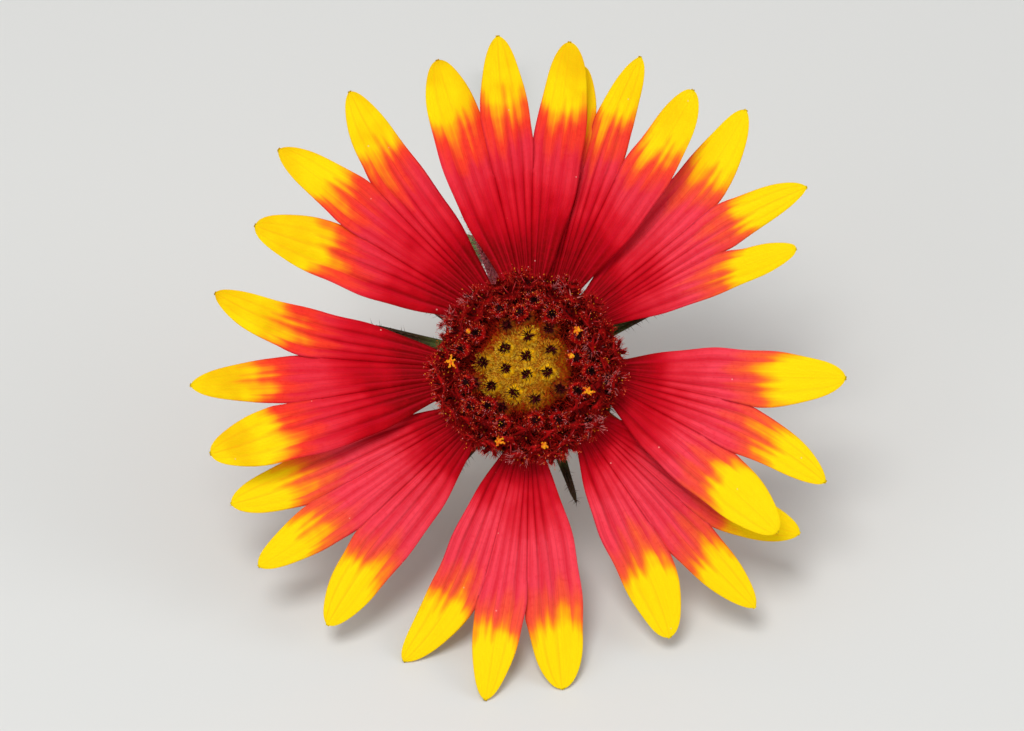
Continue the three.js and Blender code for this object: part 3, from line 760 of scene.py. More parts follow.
def centre_placings():
    """Where the buds of the disc's centre stand."""
    placings = []
    for x, y in TUFTS:
        local = Vector((x, y)) - DISC_CENTRE - DISC_TOP_SHIFT * 0.8
        radius, angle = local.length, math.atan2(local.y, local.x)
        height = lerp(CAP_TOP, CAP_EDGE, min(1.1, (radius / CAP_RADIUS) ** 2)) - 0.3
        placings.append(DISC @ leaned(angle, 0.06 * radius, radius, height, 7 * angle))
    return placings


def ring_placings():
    """Where the ring's florets stand, from the innermost outwards, with their lengths and their
    share of the way out."""
    seeded = Seeded(11)
    innermost, outermost = (math.sqrt(CENTRE_FLORETS + extra) for extra in (1, RING_FLORETS))
    placings = []
    for index in range(RING_FLORETS):
        count = CENTRE_FLORETS + 1 + index
        share = (math.sqrt(count) - innermost) / (outermost - innermost)
        length = 0.9 + 0.2 * seeded()
        placing = leaned(
            count * GOLDEN_ANGLE,
            lerp(*RING_LEANS, share),
            lerp(*RING_ROOT_RADII, share),
            lerp(*RING_ROOT_HEIGHTS, share),
            seeded() * math.pi,
        )
        placings.append((DISC @ placing, length, share))
    return placings


def floret_place(number, placing, length):
    """Where the shape of a ring's floret goes: a closed one sits high, an open one is stretched."""
    if number < RING_BUDS:
        return placing @ Matrix.Translation((0, 0, 1.2)) @ Matrix.Scale(0.9, 4)
    return placing @ Matrix.Diagonal((1, 1, length, 1))


def carried_up(start_radius, segments, rings):
    """A closed shell: a disc whose face is carried through rings of (radius, height, and radius
    and height at the five points)."""
    bm = bmesh.new()
    made = bmesh.ops.create_circle(bm, cap_ends=True, segments=segments, radius=start_radius)
    spots = {vert: (way_round(vert), 0) for vert in made["verts"]}
    face = bm.faces[:][0]
    for number, (radius, height, point_radius, point_height) in enumerate(rings, 1):
        made = bmesh.ops.extrude_face_region(bm, geom=[face])
        face = next(item for item in made["geom"] if isinstance(item, bmesh.types.BMFace))
        for vert in face.verts:
            spots[vert] = (way_round(vert), number / len(rings))
            angle = math.atan2(vert.co.y, vert.co.x)
            point = (0.5 + 0.5 * math.cos(5 * angle)) ** 1.8
            reach = lerp(radius, point_radius, point)
            vert.co.xy = reach * math.cos(angle), reach * math.sin(angle)
            vert.co.z = lerp(height, point_height, point)
    lay_uvs(bm, bm.faces, spots.get)
    bmesh.ops.recalc_face_normals(bm, faces=bm.faces)
    bm.verts.layers.float.new("tone")
    return bm


def bristles(chance, count, heights, radii, lengths, thickness, tilt, tones, arms=0):
    """(placing, tone) of hairs round an axis, in a floret's frame. tilt is a range of angles from
    the axis, in degrees, and arms gathers the hairs along that many directions."""
    found = []
    for _ in range(count):
        angle = chance.uniform(0, math.tau)
        if arms:
            angle = chance.randrange(arms) * math.tau / arms + chance.gauss(0, 0.22)
        lean = math.radians(chance.uniform(*tilt))
        out = spoke(angle)
        radius, height = chance.uniform(*radii), chance.uniform(*heights)
        turn = out.cross(Vector((0, 0, 1))) * chance.uniform(-0.35, 0.35)
        direction = out * math.sin(lean) + Vector((0, 0, math.cos(lean))) + turn
        placing = hair_placing(
            out * radius + Vector((0, 0, height)),
            direction,
            chance.uniform(*lengths),
            chance.uniform(*thickness),
            chance.uniform(0, math.tau),
        )
        found.append((placing, chance.uniform(*tones)))
    return found


def spun_dome(profile, segments):
    """A closed dome spun about Z from (radius, height) points that start and end on the axis."""
    bm = bmesh.new()
    verts = [bm.verts.new((radius, 0, height)) for radius, height in profile]
    edges = [bm.edges.new(pair) for pair in zip(verts, verts[1:])]
    turn = {"cent": (0, 0, 0), "axis": (0, 0, 1), "angle": math.tau}
    bmesh.ops.spin(bm, geom=verts + edges, steps=segments, use_merge=True, **turn)
    bmesh.ops.remove_doubles(bm, verts=bm.verts, dist=1e-4)
    bmesh.ops.recalc_face_normals(bm, faces=bm.faces)
    return bm


def carpet(chance, profile, count, radii, lengths, thickness, outward):
    """(placing, tone) of hairs that grow all over a dome, in the bloom's frame."""
    found = []
    while len(found) < count:
        radius = math.sqrt(chance.uniform(radii[0] ** 2, radii[1] ** 2))
        pair = next(p for p in zip(profile, profile[1:]) if radius <= p[1][0] or p[1] is profile[-1])
        (near, high), (far, low) = pair
        steep = math.atan2(high - low, far - near)
        angle = chance.uniform(0, math.tau)
        out = spoke(angle)
        height = lerp(high, low, (radius - near) / (far - near))
        direction = out * (math.sin(steep) + outward) + Vector((0, 0, math.cos(steep)))
        direction += jitter(chance, 0.55)
        placing = hair_placing(
            out * radius + Vector((0, 0, height - 0.08)),
            direction,
            chance.uniform(*lengths),
            chance.uniform(*thickness),
            chance.uniform(0, math.tau),
        )
        found.append((DISC @ placing, chance.random()))
    return found


def joined(first, *others):
    """The first bmesh with the others added to it."""
    skin = bpy.data.meshes.new("skin")
    for other in others:
        other.to_mesh(skin)
        other.free()
        first.from_mesh(skin)
    bpy.data.meshes.remove(skin)
    return first


def bud_finish(settings):
    """Yellow buds, painted browner low down as painted shade in the clefts between them, and orange-brown
    towards the ring.
    """
    look = Finish(
        "Yellow Bud", Specular_IOR_Level=0.1, Subsurface_Weight=0.1, Subsurface_Scale=0.0004
    )
    _, along = look.uv_parts()
    clump = look.mottle(1500, 3, 0.6)
    grain = look.mottle(6000, 2, 0.6)
    # painted shade: each bud darkens to brown towards its foot, in the clefts between the buds
    shade = look.tint(srgb(176, 106, 2), settings.yellow, along, 0.1, 0.75)
    shade = look.tint(shade, srgb(206, 122, 6), clump, 0.45, 0.65, 0, 0.6)
    shade = look.tint(shade, srgb(120, 30, 6), look.attribute("tone"), 0, 1, 0, 0.9)
    shade = look.tint(shade, srgb(120, 70, 0), grain, 0.55, 0.8, 0, 0.35)
    return look.finish(shade, look.fade(grain, 0.3, 0.7, 0.6, 0.8), grain, 0.05)


def down_finish(settings):
    """Yellow down that turns to orange-brown where its tone is high. The tone carries both the real
    orange-brown towards the ring and painted shade in the clefts between the buds.
    """
    look = Finish("Yellow Down", Specular_IOR_Level=0.1)
    _, along = look.uv_parts()
    patch = look.mottle(800, 2, 0.5)
    pale = look.ramp(along, (0, srgb(226, 142, 0)), (0.4, settings.yellow), (1, srgb(255, 234, 90)))
    brown = look.ramp(along, (0, srgb(120, 58, 2)), (0.55, srgb(178, 98, 4)), (1, srgb(216, 132, 16)))
    tinted = look.tint(pale, brown, patch, 0.48, 0.6, 0, 0.5)
    tone = look.attribute("tone")
    tinted = look.tint(tinted, srgb(218, 66, 6), tone, 0.25, 0.8, 0, 0.9)
    tinted = look.tint(tinted, srgb(190, 20, 6), tone, 0.75, 1, 0, 0.85)
    return look.finish(tinted, 0.6)


class FLOWER_OT_disc_centre(bpy.types.Operator):
    """Build the yellow buds in the middle of the disc, their down and their dark tufts"""

    bl_idname = "flower.disc_centre"
    bl_label = "Disc Centre"

    def execute(self, context):
        settings = context.scene.flower_disc
        chance = random.Random(3)
        placings = centre_placings()
        middle = DISC @ Vector((0, 0, CAP_TOP)) + YELLOW_SHIFT
        tones = [smoothstep((p.translation - middle).xy.length, *BUDS_BROWN) for p in placings]
        cap = spun_dome([(0, 4.0), (3.8, 4.0), *CAP[::-1]], 32)
        cap.transform(DISC)
        buds = joined(repeated(carried_up(*CLOSED_FLORET), zip(placings, tones)), cap)
        finish = bud_finish(settings)
        add_piece("centre_buds", buds, BLOOM, [finish], ["disc_centre_florets"])

        down, spikes = [], []
        for placing, tone in zip(placings, tones):
            for hair, _ in bristles(chance, *BUD_DOWN):
                down.append((placing @ hair, 0.9 * tone + chance.uniform(-0.1, 0.15)))
            points = bristles(chance, *TUFT_POINTS)
            spikes += moved(points + bristles(chance, *TUFT_CORE), placing)
        for hair, _ in carpet(chance, *CENTRE_FUZZ) + carpet(chance, *CLEFT_FUZZ):
            place = hair.translation
            away = (place - middle).xy.length + 0.7 * noise.noise(place * 0.9)
            nearest = min((place - bud.translation).xy.length for bud in placings)
            # the real orange-brown towards the ring, plus painted shade in the clefts between the buds
            tone = smoothstep(away, *FUZZ_BROWN) + 0.5 * smoothstep(nearest, *CLEFTS_PAINTED_SHADE)
            down.append((hair, tone + chance.uniform(-0.1, 0.1)))
        spikes += carpet(chance, *CENTRE_SPIKES)
        finish = down_finish(settings)
        add_copies("centre_down", hair_template(1.5), down, BLOOM, finish)
        # the last, pale shade makes some tuft spikes painted pinkish glints
        finish = hair_finish(
            "Tuft", settings.dark, srgb(80, 5, 12), srgb(138, 24, 26), srgb(110, 34, 44)
        )
        add_copies("centre_tufts", hair_template(1.0), spikes, BLOOM, finish)
        return {"FINISHED"}


def floret_finish(settings):
    """Maroon outside, brighter on the lobes, dark at the foot and almost black down the throat. The dark
    foot and throat are painted shade in the hollows between and inside the florets.
    """
    look = Finish("Maroon Floret", Specular_IOR_Level=0.05)
    _, along = look.uv_parts()
    maroon, dark = settings.maroon, settings.dark
    grain = look.mottle(4200, 3, 0.6)
    patch = look.mottle(620, 2, 0.5)
    # painted shade: dark at the foot and almost black down the throat
    shade = look.ramp(
        along, (0, dark), (0.3, srgb(84, 4, 6)), (0.55, srgb(186, 26, 26)), (0.66, maroon), (0.8, dark)
    )
    shade = look.tint(shade, srgb(66, 2, 6), grain, 0.5, 0.72, 0, 0.6)
    shade = look.tint(shade, srgb(40, 0, 4), patch, 0.45, 0.7, 0, 0.5)
    return look.finish(shade, look.fade(grain, 0.3, 0.7, 0.55, 0.8), grain, 0.06)


def with_painted_highlights(hairs, chance):
    """The (placing, tone) pairs with most of the hairs in the highlight spots made pale, as painted
    highlights.
    """
    result = []
    for placing, tone in hairs:
        place = placing.translation.xy
        inside = any((place - Vector(spot[:2])).length < spot[2] for spot in HIGHLIGHT_SPOTS)
        result.append((placing, 1 if inside and chance.random() < HIGHLIGHT_SHARE else tone))
    return result


def ring_bristles(chance, settings):
    """Hairs, anthers and styles of the ring, as lists of (placing, tone)."""
    longest, count = settings.hair_length / MM, settings.hairs_on_floret
    hairs, anthers, styles = [], [], []
    for number, (placing, length, share) in enumerate(ring_placings()):
        floret = floret_place(number, placing, length)
        if number < RING_BUDS:
            tuft = bristles(chance, *RING_BUD_TUFT)
            times, *ranges = RING_BUD_DOWN
            hairs += moved(bristles(chance, int(count * times), *ranges), floret)
            if number % 2:
                anthers += moved(tuft, floret)
            continue
        darkest = chance.choice((0, 0.15, 0.5))
        tones = (darkest, darkest + 0.46)
        lobes = bristles(
            chance, count, (1.9, 2.2), (0.5, 1.0), (0.25, longest * 0.75), (0.018, 0.03), (5, 95),
            tones, 5,
        )
        walls = bristles(
            chance, int(count * 0.5), (0.9, 1.9), (0.32, 0.52), (0.3, longest), (0.018, 0.032),
            (45, 100), tones,
        )
        hairs += moved(lobes + walls, floret)
        if chance.random() < ANTHER_SHARE:
            anthers += moved(bristles(chance, *ANTHER_TUBE), floret)
        if chance.random() < 0.25 + 0.5 * share:
            tone = chance.random()
            for side in (0, 1):
                turn = chance.uniform(0, 1) + side * math.pi
                tilt = Matrix.Rotation(turn, 4, "Z") @ Matrix.Rotation(chance.uniform(0.4, 0.9), 4, "Y")
                direction = tilt @ Vector((0, 0, 1))
                reach = chance.uniform(0.9, 1.35)
                branch = hair_placing(Vector((0, 0, 1.7)), direction, reach, 0.085, turn)
                styles.append((floret @ branch, tone))
    return with_painted_highlights(hairs, chance), anthers, styles


def speck_template(subdivisions, lumps=0):
    """A ball of radius 1, as lumpy as asked."""
    bm = bmesh.new()
    bmesh.ops.create_icosphere(bm, subdivisions=subdivisions, radius=1)
    for vert in bm.verts:
        vert.co *= 1 + lumps * noise.noise(vert.co * 1.7)
    bm.verts.layers.float.new("tone")
    return bm


def speck_placing(spot, radius):
    return Matrix.Translation(spot) @ Matrix.Scale(radius, 4)


class FLOWER_OT_disc_ring(bpy.types.Operator):
    """Build the ring of maroon florets with their anthers, styles and hairs"""

    bl_idname = "flower.disc_ring"
    bl_label = "Disc Ring"

    def execute(self, context):
        settings = context.scene.flower_disc
        chance = random.Random(7)
        dark, maroon = settings.dark, settings.maroon
        places = [
            (floret_place(number, placing, length), chance.random())
            for number, (placing, length, _) in enumerate(ring_placings())
        ]
        opened = repeated(carried_up(*OPEN_FLORET), places[RING_BUDS:])
        closed = repeated(carried_up(*CLOSED_FLORET), places[:RING_BUDS])
        core = spun_dome([(0, 0.3), (5.6, 0.3), (6.8, 1.1), *CORE[::-1], (0, 4.4)], 48)
        core.transform(DISC)
        ring = joined(opened, closed, core)
        finish = floret_finish(settings)
        add_piece("ring_florets", ring, BLOOM, [finish], ["disc_ring_florets"])

        hairs, anthers, styles = ring_bristles(chance, settings)
        fur = [
            (placing, min(0.9, 0.25 + 0.5 * tone + 1.6 * noise.noise(placing.translation * 1.1)))
            for placing, tone in carpet(chance, *RING_FUR) + carpet(chance, *EDGE_FUR)
        ]
        # pale: the colour of the painted highlights and glints on the ring's hairs and glands
        pale = srgb(230, 132, 132)
        for name, kind, bend, placings, *shades in (
            ("ring_hairs", "Maroon Hair", 2.0, hairs, srgb(100, 0, 2), maroon, srgb(236, 84, 58), pale),
            ("ring_fur", "Maroon Fur", 3.0, fur, dark, srgb(166, 4, 6), srgb(214, 36, 26), pale),
            ("ring_anthers", "Anther", 0.5, anthers, dark, srgb(34, 2, 5), srgb(84, 10, 10), dark),
            ("ring_styles", "Style", 3.0, styles, srgb(130, 6, 12), srgb(190, 30, 34),
             srgb(224, 84, 84), srgb(230, 130, 124)),
        ):
            finish = hair_finish(kind, *shades)
            add_copies(name, hair_template(bend), placings, BLOOM, finish)

        beads = []
        for placing, tone in chance.sample(hairs, min(GLANDS, len(hairs))):
            radius = chance.uniform(0.028, 0.05)
            shine = 1 if chance.random() < 0.15 else tone
            beads.append((speck_placing(placing @ Vector((2.0, 0, 1)), radius), shine))
        look = Finish("Gland", Specular_IOR_Level=0.3)
        tone = look.attribute("tone")
        shade = look.tint(srgb(196, 30, 24), srgb(246, 106, 46), tone, 0.1, 0.7)
        # painted glints: the beads that shine are made pale
        shade = look.tint(shade, pale, tone, 0.9, 0.96)
        finish = look.finish(shade, 0.4)
        add_copies("ring_glands", speck_template(1), beads, BLOOM, finish)
        return {"FINISHED"}


class FLOWER_OT_pollen(bpy.types.Operator):
    """Build the clumps of orange pollen on some of the florets, and the grains round about"""

    bl_idname = "flower.pollen"
    bl_label = "Pollen"

    def execute(self, context):
        settings = context.scene.flower_disc
        chance = random.Random(19)
        heads = [placing @ Vector((0, 0, 2.35 * length)) for placing, length, _ in ring_placings()]
        grains = []
        for x, y, size in POLLEN:
            head = min(heads, key=lambda place: (place.xy - Vector((x, y))).length)
            middle = Vector((x, y, head.z + 0.15))
            start = chance.uniform(0, math.tau)
            for arm in range(POLLEN_ARMS):
                angle = start + arm * math.tau / POLLEN_ARMS + chance.uniform(-0.3, 0.3)
                out = Vector((math.cos(angle), math.sin(angle), chance.uniform(-0.1, 0.5)))
                far = chance.uniform(0.5, 1)
                for step in range(POLLEN_STEPS):
                    spot = middle + out * size * far * step / (POLLEN_STEPS - 1)
                    spot += jitter(chance, 0.05)
                    radius = chance.uniform(0.09, 0.15) * (1.2 - 0.14 * step)
                    grains.append((speck_placing(spot, radius), chance.random()))
        for _ in range(STRAY_GRAINS):
            spot = chance.choice(heads) + jitter(chance, 0.5)
            grains.append((speck_placing(spot, chance.uniform(0.022, 0.045)), chance.random()))
        look = Finish("Pollen", Specular_IOR_Level=0.2, Subsurface_Weight=0.2, Subsurface_Scale=0.0003)
        dust = look.mottle(5000, 2, 0.6)
        orange = srgb(236, 92, 6)
        shade = look.tint(settings.pollen, orange, dust, 0.45, 0.62)
        shade = look.tint(shade, orange, look.attribute("tone"), 0.5, 1, 0, 0.7)
        finish = look.finish(shade, 0.7, dust, 0.05)
        add_copies("pollen", speck_template(2, 0.4), grains, BLOOM, finish)
        return {"FINISHED"}


# ---- Involucre --------------------------------------------------------------------------------

BRACTS_IN_ROW = 13
BRACT_START_ANGLE = math.radians(107.4)
# Reach, height at the rim and at the tip, width, offset in steps and how far it stands off the cup.
BRACT_ROWS = [(11.2, -1.35, -2.1, 2.6, 0.5, 0.1), (14.0, -2.15, -3.5, 2.9, 0, 0.32)]
# Degrees that some bracts are pushed aside by the ray florets over them, by their number.
BRACT_TURNS = {9: -12, 13: 5, 18: -15}
DOWNY_BRACT = 13  # the rosy one that shows between two ray florets
BRACT_THICKNESS = 0.26
RIM_RADIUS = 7.25
# Radius and height of the receptacle from the stem to its rim.
CUP = [(1.3, -6.6), (3.2, -5.6), (4.6, -4.6), (6.0, -3.5), (6.9, -2.7), (RIM_RADIUS, -1.9)]
INVOLUCRE = Matrix.Translation((DISC_CENTRE.x, DISC_CENTRE.y, -INVOLUCRE_DROP))


def bract_places():
    """The row's measures, the reach and the angle of each bract."""
    seeded = Seeded(23)
    places = []
    for reach, *row, offset, lift in BRACT_ROWS:
        for index in range(BRACTS_IN_ROW):
            angle = BRACT_START_ANGLE + (index + offset) * math.tau / BRACTS_IN_ROW
            angle += math.radians(BRACT_TURNS.get(len(places), 0))
            far = reach + 1.2 * (seeded() - 0.5)
            places.append((far, *row, lift, angle + 0.08 * (seeded() - 0.5)))
    return places


def bract_point(place, along, across):
    """A point of a bract: from -1 to 0 it is pressed to the cup, from 0 to 1 it spreads."""
    reach, rim_height, tip_height, width, lift, angle = place
    if along < 0:
        step = min(4.999, (1 + along) * 5)
        (radius, height), (farther, higher) = CUP[int(step)], CUP[int(step) + 1]
        radius, height = lerp(radius, farther, step % 1), lerp(height, higher, step % 1)
        height = lerp(height, rim_height, smoothstep(along, -0.3, 0))
    else:
        radius = lerp(RIM_RADIUS, reach, along)
        height = lerp(rim_height, tip_height, along**1.6)
    half_width = lerp(0.4, 0.62 * width, smoothstep(along, -1, -0.35))
    half_width = lerp(half_width, 0.1 * width, smoothstep(along, -0.35, 0.02))
    half_width = max(0.05, half_width * (1 - max(0, min(1, along))) ** 1.2)
    free = smoothstep(along, -0.1, 0.2)
    bulge = lift * (1 - 0.5 * across**2) * (1 - free)
    fold = 0.18 * (across**2 - 0.4) * free * (1 - along)
    rib = 0.1 * (1 - smoothstep(abs(across), 0, 0.22)) * (1 - max(0, along))
    turn = angle + across * half_width / max(radius, 1.6)
    up = Vector((0, 0, height + fold - rib - bulge * 0.7))
    return spoke(turn) * (radius + bulge * 0.7) + up


def green_finish(name, shade, dusky, pale, along_scale):
    """A downy green with darker veins and a paler rib: pale at its foot and dusky to its tip, and
    rosy where the surface has a blush."""
    look = Finish(name, Specular_IOR_Level=0.15, Subsurface_Weight=0.06, Subsurface_Scale=0.0005)
    u, along = look.uv_parts()
    across = look.math("ABSOLUTE", look.math("MULTIPLY_ADD", u, 2, -1))
    streak = look.streaks(along_scale, 3, 0.6)
    blotch = look.mottle(420, 3, 0.55)
    grain = look.mottle(5200, 2, 0.6)
    base = look.tint(shade, [value * 0.7 for value in shade], blotch, 0.3, 0.7)
    base = look.tint(base, pale, along, 0.42, 0.05, 0, 0.7)
    base = look.tint(base, pale, streak, 0.45, 0.75, 0, 0.5)
    base = look.tint(base, pale, across, 0.06, 0.0, 0, 0.5)
    base = look.tint(base, dusky, along, 0.48, 0.72, 0, 0.88)
    rosy = look.math("MULTIPLY", look.attribute("blush"), look.fade(along, 0.42, 0.56, 0, 0.9))
    base = look.mix(rosy, base, srgb(250, 138, 152))
    relief = look.math("ADD", streak, look.math("MULTIPLY", grain, 0.5))
    return look.finish(base, look.fade(grain, 0.3, 0.7, 0.6, 0.8), relief, 0.06)


def uv_grid(bm, columns, rows, point, first=0):
    """Adds a grid to the bmesh, shaped by point(along, across), with its places as UVs. along runs
    from first to 1 and across from 1 to -1."""
    verts = bmesh.ops.create_grid(bm, x_segments=columns, y_segments=rows, size=1)["verts"]
    faces = {face for vert in verts for face in vert.link_faces}
    lay_uvs(bm, faces, lambda vert: ((1 - vert.co.x) / 2, (vert.co.y + 1) / 2))
    for vert in verts:
        vert.co = point(lerp(first, 1, (vert.co.y + 1) / 2), -vert.co.x)
    return verts


def bract_hairs(chance, place, downy, longest):
    """(placing, tone) of a bract's hairs, in the bloom's frame: closer and rosy on a downy one."""
    count, lowest, thick = (700, -0.1, 0.034) if downy else (150, -0.9, 0.022)
    found = []
    for _ in range(count):
        along, across = chance.uniform(lowest, 1), chance.uniform(-1, 1)
        if chance.random() < 0.5:
            across = math.copysign(1, across)
        root = bract_point(place, along, across)
        ahead = (bract_point(place, along + 0.02, across) - root).normalized()
        aside = (bract_point(place, along, across + 0.1) - root).normalized()
        below = aside.cross(ahead)
        if along > 0:
            below *= chance.choice((1, -1))
        direction = ahead * 0.6 + aside * across * 0.9 + below * 0.7
        direction += jitter(chance, 0.3)
        reach = chance.uniform(0.35, longest * 0.9)
        placing = hair_placing(root, direction, reach, thick, chance.uniform(0, 6))
        tone = 1 if downy else 0.9 * chance.random() * (along < 0.2)
        found.append((INVOLUCRE @ placing, tone))
    return found


class FLOWER_OT_involucre(bpy.types.Operator):
    """Build the two rows of bracts behind the bloom, the receptacle and their hairs"""

    bl_idname = "flower.involucre"
    bl_label = "Involucre"

    def execute(self, context):
        settings = context.scene.flower_green
        chance = random.Random(29)
        bm = bmesh.new()
        blush = bm.verts.layers.float.new("blush")
        hairs = []
        for number, place in enumerate(bract_places()):
            downy = number == DOWNY_BRACT
            for vert in uv_grid(bm, 8, 40, lambda *spot: bract_point(place, *spot), -1):
                vert[blush] = downy
            hairs += bract_hairs(chance, place, downy, settings.hair_length / MM)
        bmesh.ops.solidify(bm, geom=bm.faces[:], thickness=BRACT_THICKNESS)
        cup = spun_dome([(0, -6.6), *CUP, (RIM_RADIUS, -1.0), (6.9, 0), (0, 0)], 40)
        lay_uvs(cup, cup.faces, lambda vert: (way_round(vert), 0.3))
        joined(bm, cup)
        bmesh.ops.recalc_face_normals(bm, faces=bm.faces)
        bm.normal_update()
        for vert in bm.verts:
            vert[blush] *= vert.normal.z > 0
        finish = green_finish("Bract", settings.bract, srgb(54, 20, 16), srgb(158, 164, 116), (14, 2, 1))
        add_piece("bracts", bm, BLOOM @ INVOLUCRE, [finish], ["involucre"])
        finish = hair_finish(
            "Bract Hair", srgb(60, 26, 28), srgb(150, 124, 110), srgb(206, 190, 176), srgb(226, 140, 150)
        )
        add_copies("bract_hairs", hair_template(3.0), hairs, BLOOM, finish)
        return {"FINISHED"}


# ---- Stem and leaves --------------------------------------------------------------------------

STEM_TOP_DEPTH = 6.8
STEM_BEND_RADIUS = 34
STEM_SWAY = -2.5
STEM_RIBS = 9
STEM_SIDES = 48
STEM_ROWS = 90
STEM_HAIRS = 1500
# Side of the stem, root, reach from there to the tip, half-width and teeth.
LEAVES = {"leaf_1": (-1, 33.5, (-13.5, -3.5), 3.5, 4), "leaf_2": (1, 46.5, (13, -8), 2.9, 3)}
LEAF_GAP = 0.75
LEAF_CLEARANCE = 0.03
BLADE_THICKNESS = 0.34
SIDE_VEINS = 11
VEIN_SLANT = 2.1
HAIRS_ON_LEAF = 700


def stem_x(y):
    return DISC_CENTRE.x + STEM_SWAY * smoothstep(y, 10, 50)


class StemPath:
    """The stem's middle line: straight from the involucre, then an arc, then along the surface,
    drifting a little to one side."""

    def __init__(self):
        turn = Matrix.Rotation(BLOOM_LEAN, 3, "X")
        top = turn @ Vector((DISC_CENTRE.x, DISC_CENTRE.y, -STEM_TOP_DEPTH - INVOLUCRE_DROP))
        self.top = top + Vector((0, 0, BLOOM_HEIGHT))
        drop = STEM_BEND_RADIUS * (1 - math.cos(BLOOM_LEAN))
        self.straight = (self.top.z - STEM_RADIUS - drop) / math.cos(BLOOM_LEAN)
        self.arc = STEM_BEND_RADIUS * BLOOM_LEAN
        self.bend_start = self.top.y + self.straight * math.sin(BLOOM_LEAN)
        self.lying_from = self.bend_start + STEM_BEND_RADIUS * math.sin(BLOOM_LEAN)
        self.length = self.straight + self.arc + STEM_END_Y - self.lying_from

    def at(self, distance):
        """The point and the slope below level at a distance from the top."""
        if distance <= self.straight:
            y = self.top.y + distance * math.sin(BLOOM_LEAN)
            return Vector((stem_x(y), y, self.top.z - distance * math.cos(BLOOM_LEAN))), BLOOM_LEAN
        if distance <= self.straight + self.arc:
            slope = BLOOM_LEAN - (distance - self.straight) / STEM_BEND_RADIUS
            y = self.lying_from - STEM_BEND_RADIUS * math.sin(slope)
            return Vector((stem_x(y), y, STEM_RADIUS + STEM_BEND_RADIUS * (1 - math.cos(slope)))), slope
        y = self.lying_from + distance - self.straight - self.arc
        return Vector((stem_x(y), y, STEM_RADIUS)), 0

    def surface(self, distance, angle, radius):
        """A point round the stem, and the direction straight out of it there."""
        centre, slope = self.at(distance)
        up = Vector((0, math.sin(slope), math.cos(slope)))
        out = Vector((1, 0, 0)) * math.cos(angle) + up * math.sin(angle)
        return centre + out * radius, out


class FLOWER_OT_stem(bpy.types.Operator):
    """Build the ribbed stem, its cut end and its hairs"""

    bl_idname = "flower.stem"
    bl_label = "Stem"

    def execute(self, context):
        settings = context.scene.flower_green
        chance = random.Random(31)
        path = StemPath()
        bm = bmesh.new()
        made = bmesh.ops.create_grid(bm, x_segments=STEM_SIDES, y_segments=STEM_ROWS, size=1)
        spots = {vert: (vert.co.x, (vert.co.y + 1) / 2) for vert in made["verts"]}
        lay_uvs(bm, bm.faces, lambda vert: ((vert.co.x + 1) / 2, (vert.co.y + 1) / 2 * 0.45))
        for vert, (around, along) in spots.items():
            angle = around * math.pi
            rib = 0.07 * math.cos(STEM_RIBS * angle) - 0.05
            swell = 0.12 * (1 - smoothstep(along, 0, 0.06))
            radius = STEM_RADIUS + rib + swell + 0.03 * math.sin(31 * along)
            vert.co = path.surface(lerp(-0.5, path.length, along), angle, radius)[0]
        bmesh.ops.remove_doubles(bm, verts=bm.verts, dist=1e-4)
        ends = [edge for edge in bm.edges if edge.is_boundary]
        caps = bmesh.ops.holes_fill(bm, edges=ends, sides=0)["faces"]
        for inset, depth in ((0.12, 0.0), (0.3, -0.12), (0.25, 0.08)):
            bmesh.ops.inset_individual(bm, faces=caps, thickness=inset, depth=depth)
        lay_uvs(bm, caps, lambda vert: (0.5, 0.9))
        bmesh.ops.recalc_face_normals(bm, faces=bm.faces)
        finish = green_finish("Stem", settings.stem, srgb(176, 178, 120), srgb(150, 166, 96), (60, 6, 1))
        add_piece("stem_ribbed", bm, FLOWER, [finish], ["stem"])

        hairs = []
        longest = settings.hair_length / MM
        while len(hairs) < STEM_HAIRS:
            distance, angle = chance.uniform(0.2, path.length - 1), chance.uniform(-math.pi, math.pi)
            root, out = path.surface(distance, angle, STEM_RADIUS - 0.06)
            direction = out + jitter(chance, 0.4)
            reach = chance.uniform(0.3, longest * 0.8)
            if (root + direction.normalized() * reach).z > 0.08:
                placing = hair_placing(root, direction, reach, 0.02, chance.uniform(0, 6))
                hairs.append((placing, chance.random()))
        finish = hair_finish(
            "Stem Hair", srgb(130, 140, 96), srgb(196, 200, 170), srgb(232, 232, 220), srgb(240, 240, 232)
        )
        add_copies("stem_hairs", hair_template(3.0), hairs, FLOWER, finish)
        return {"FINISHED"}


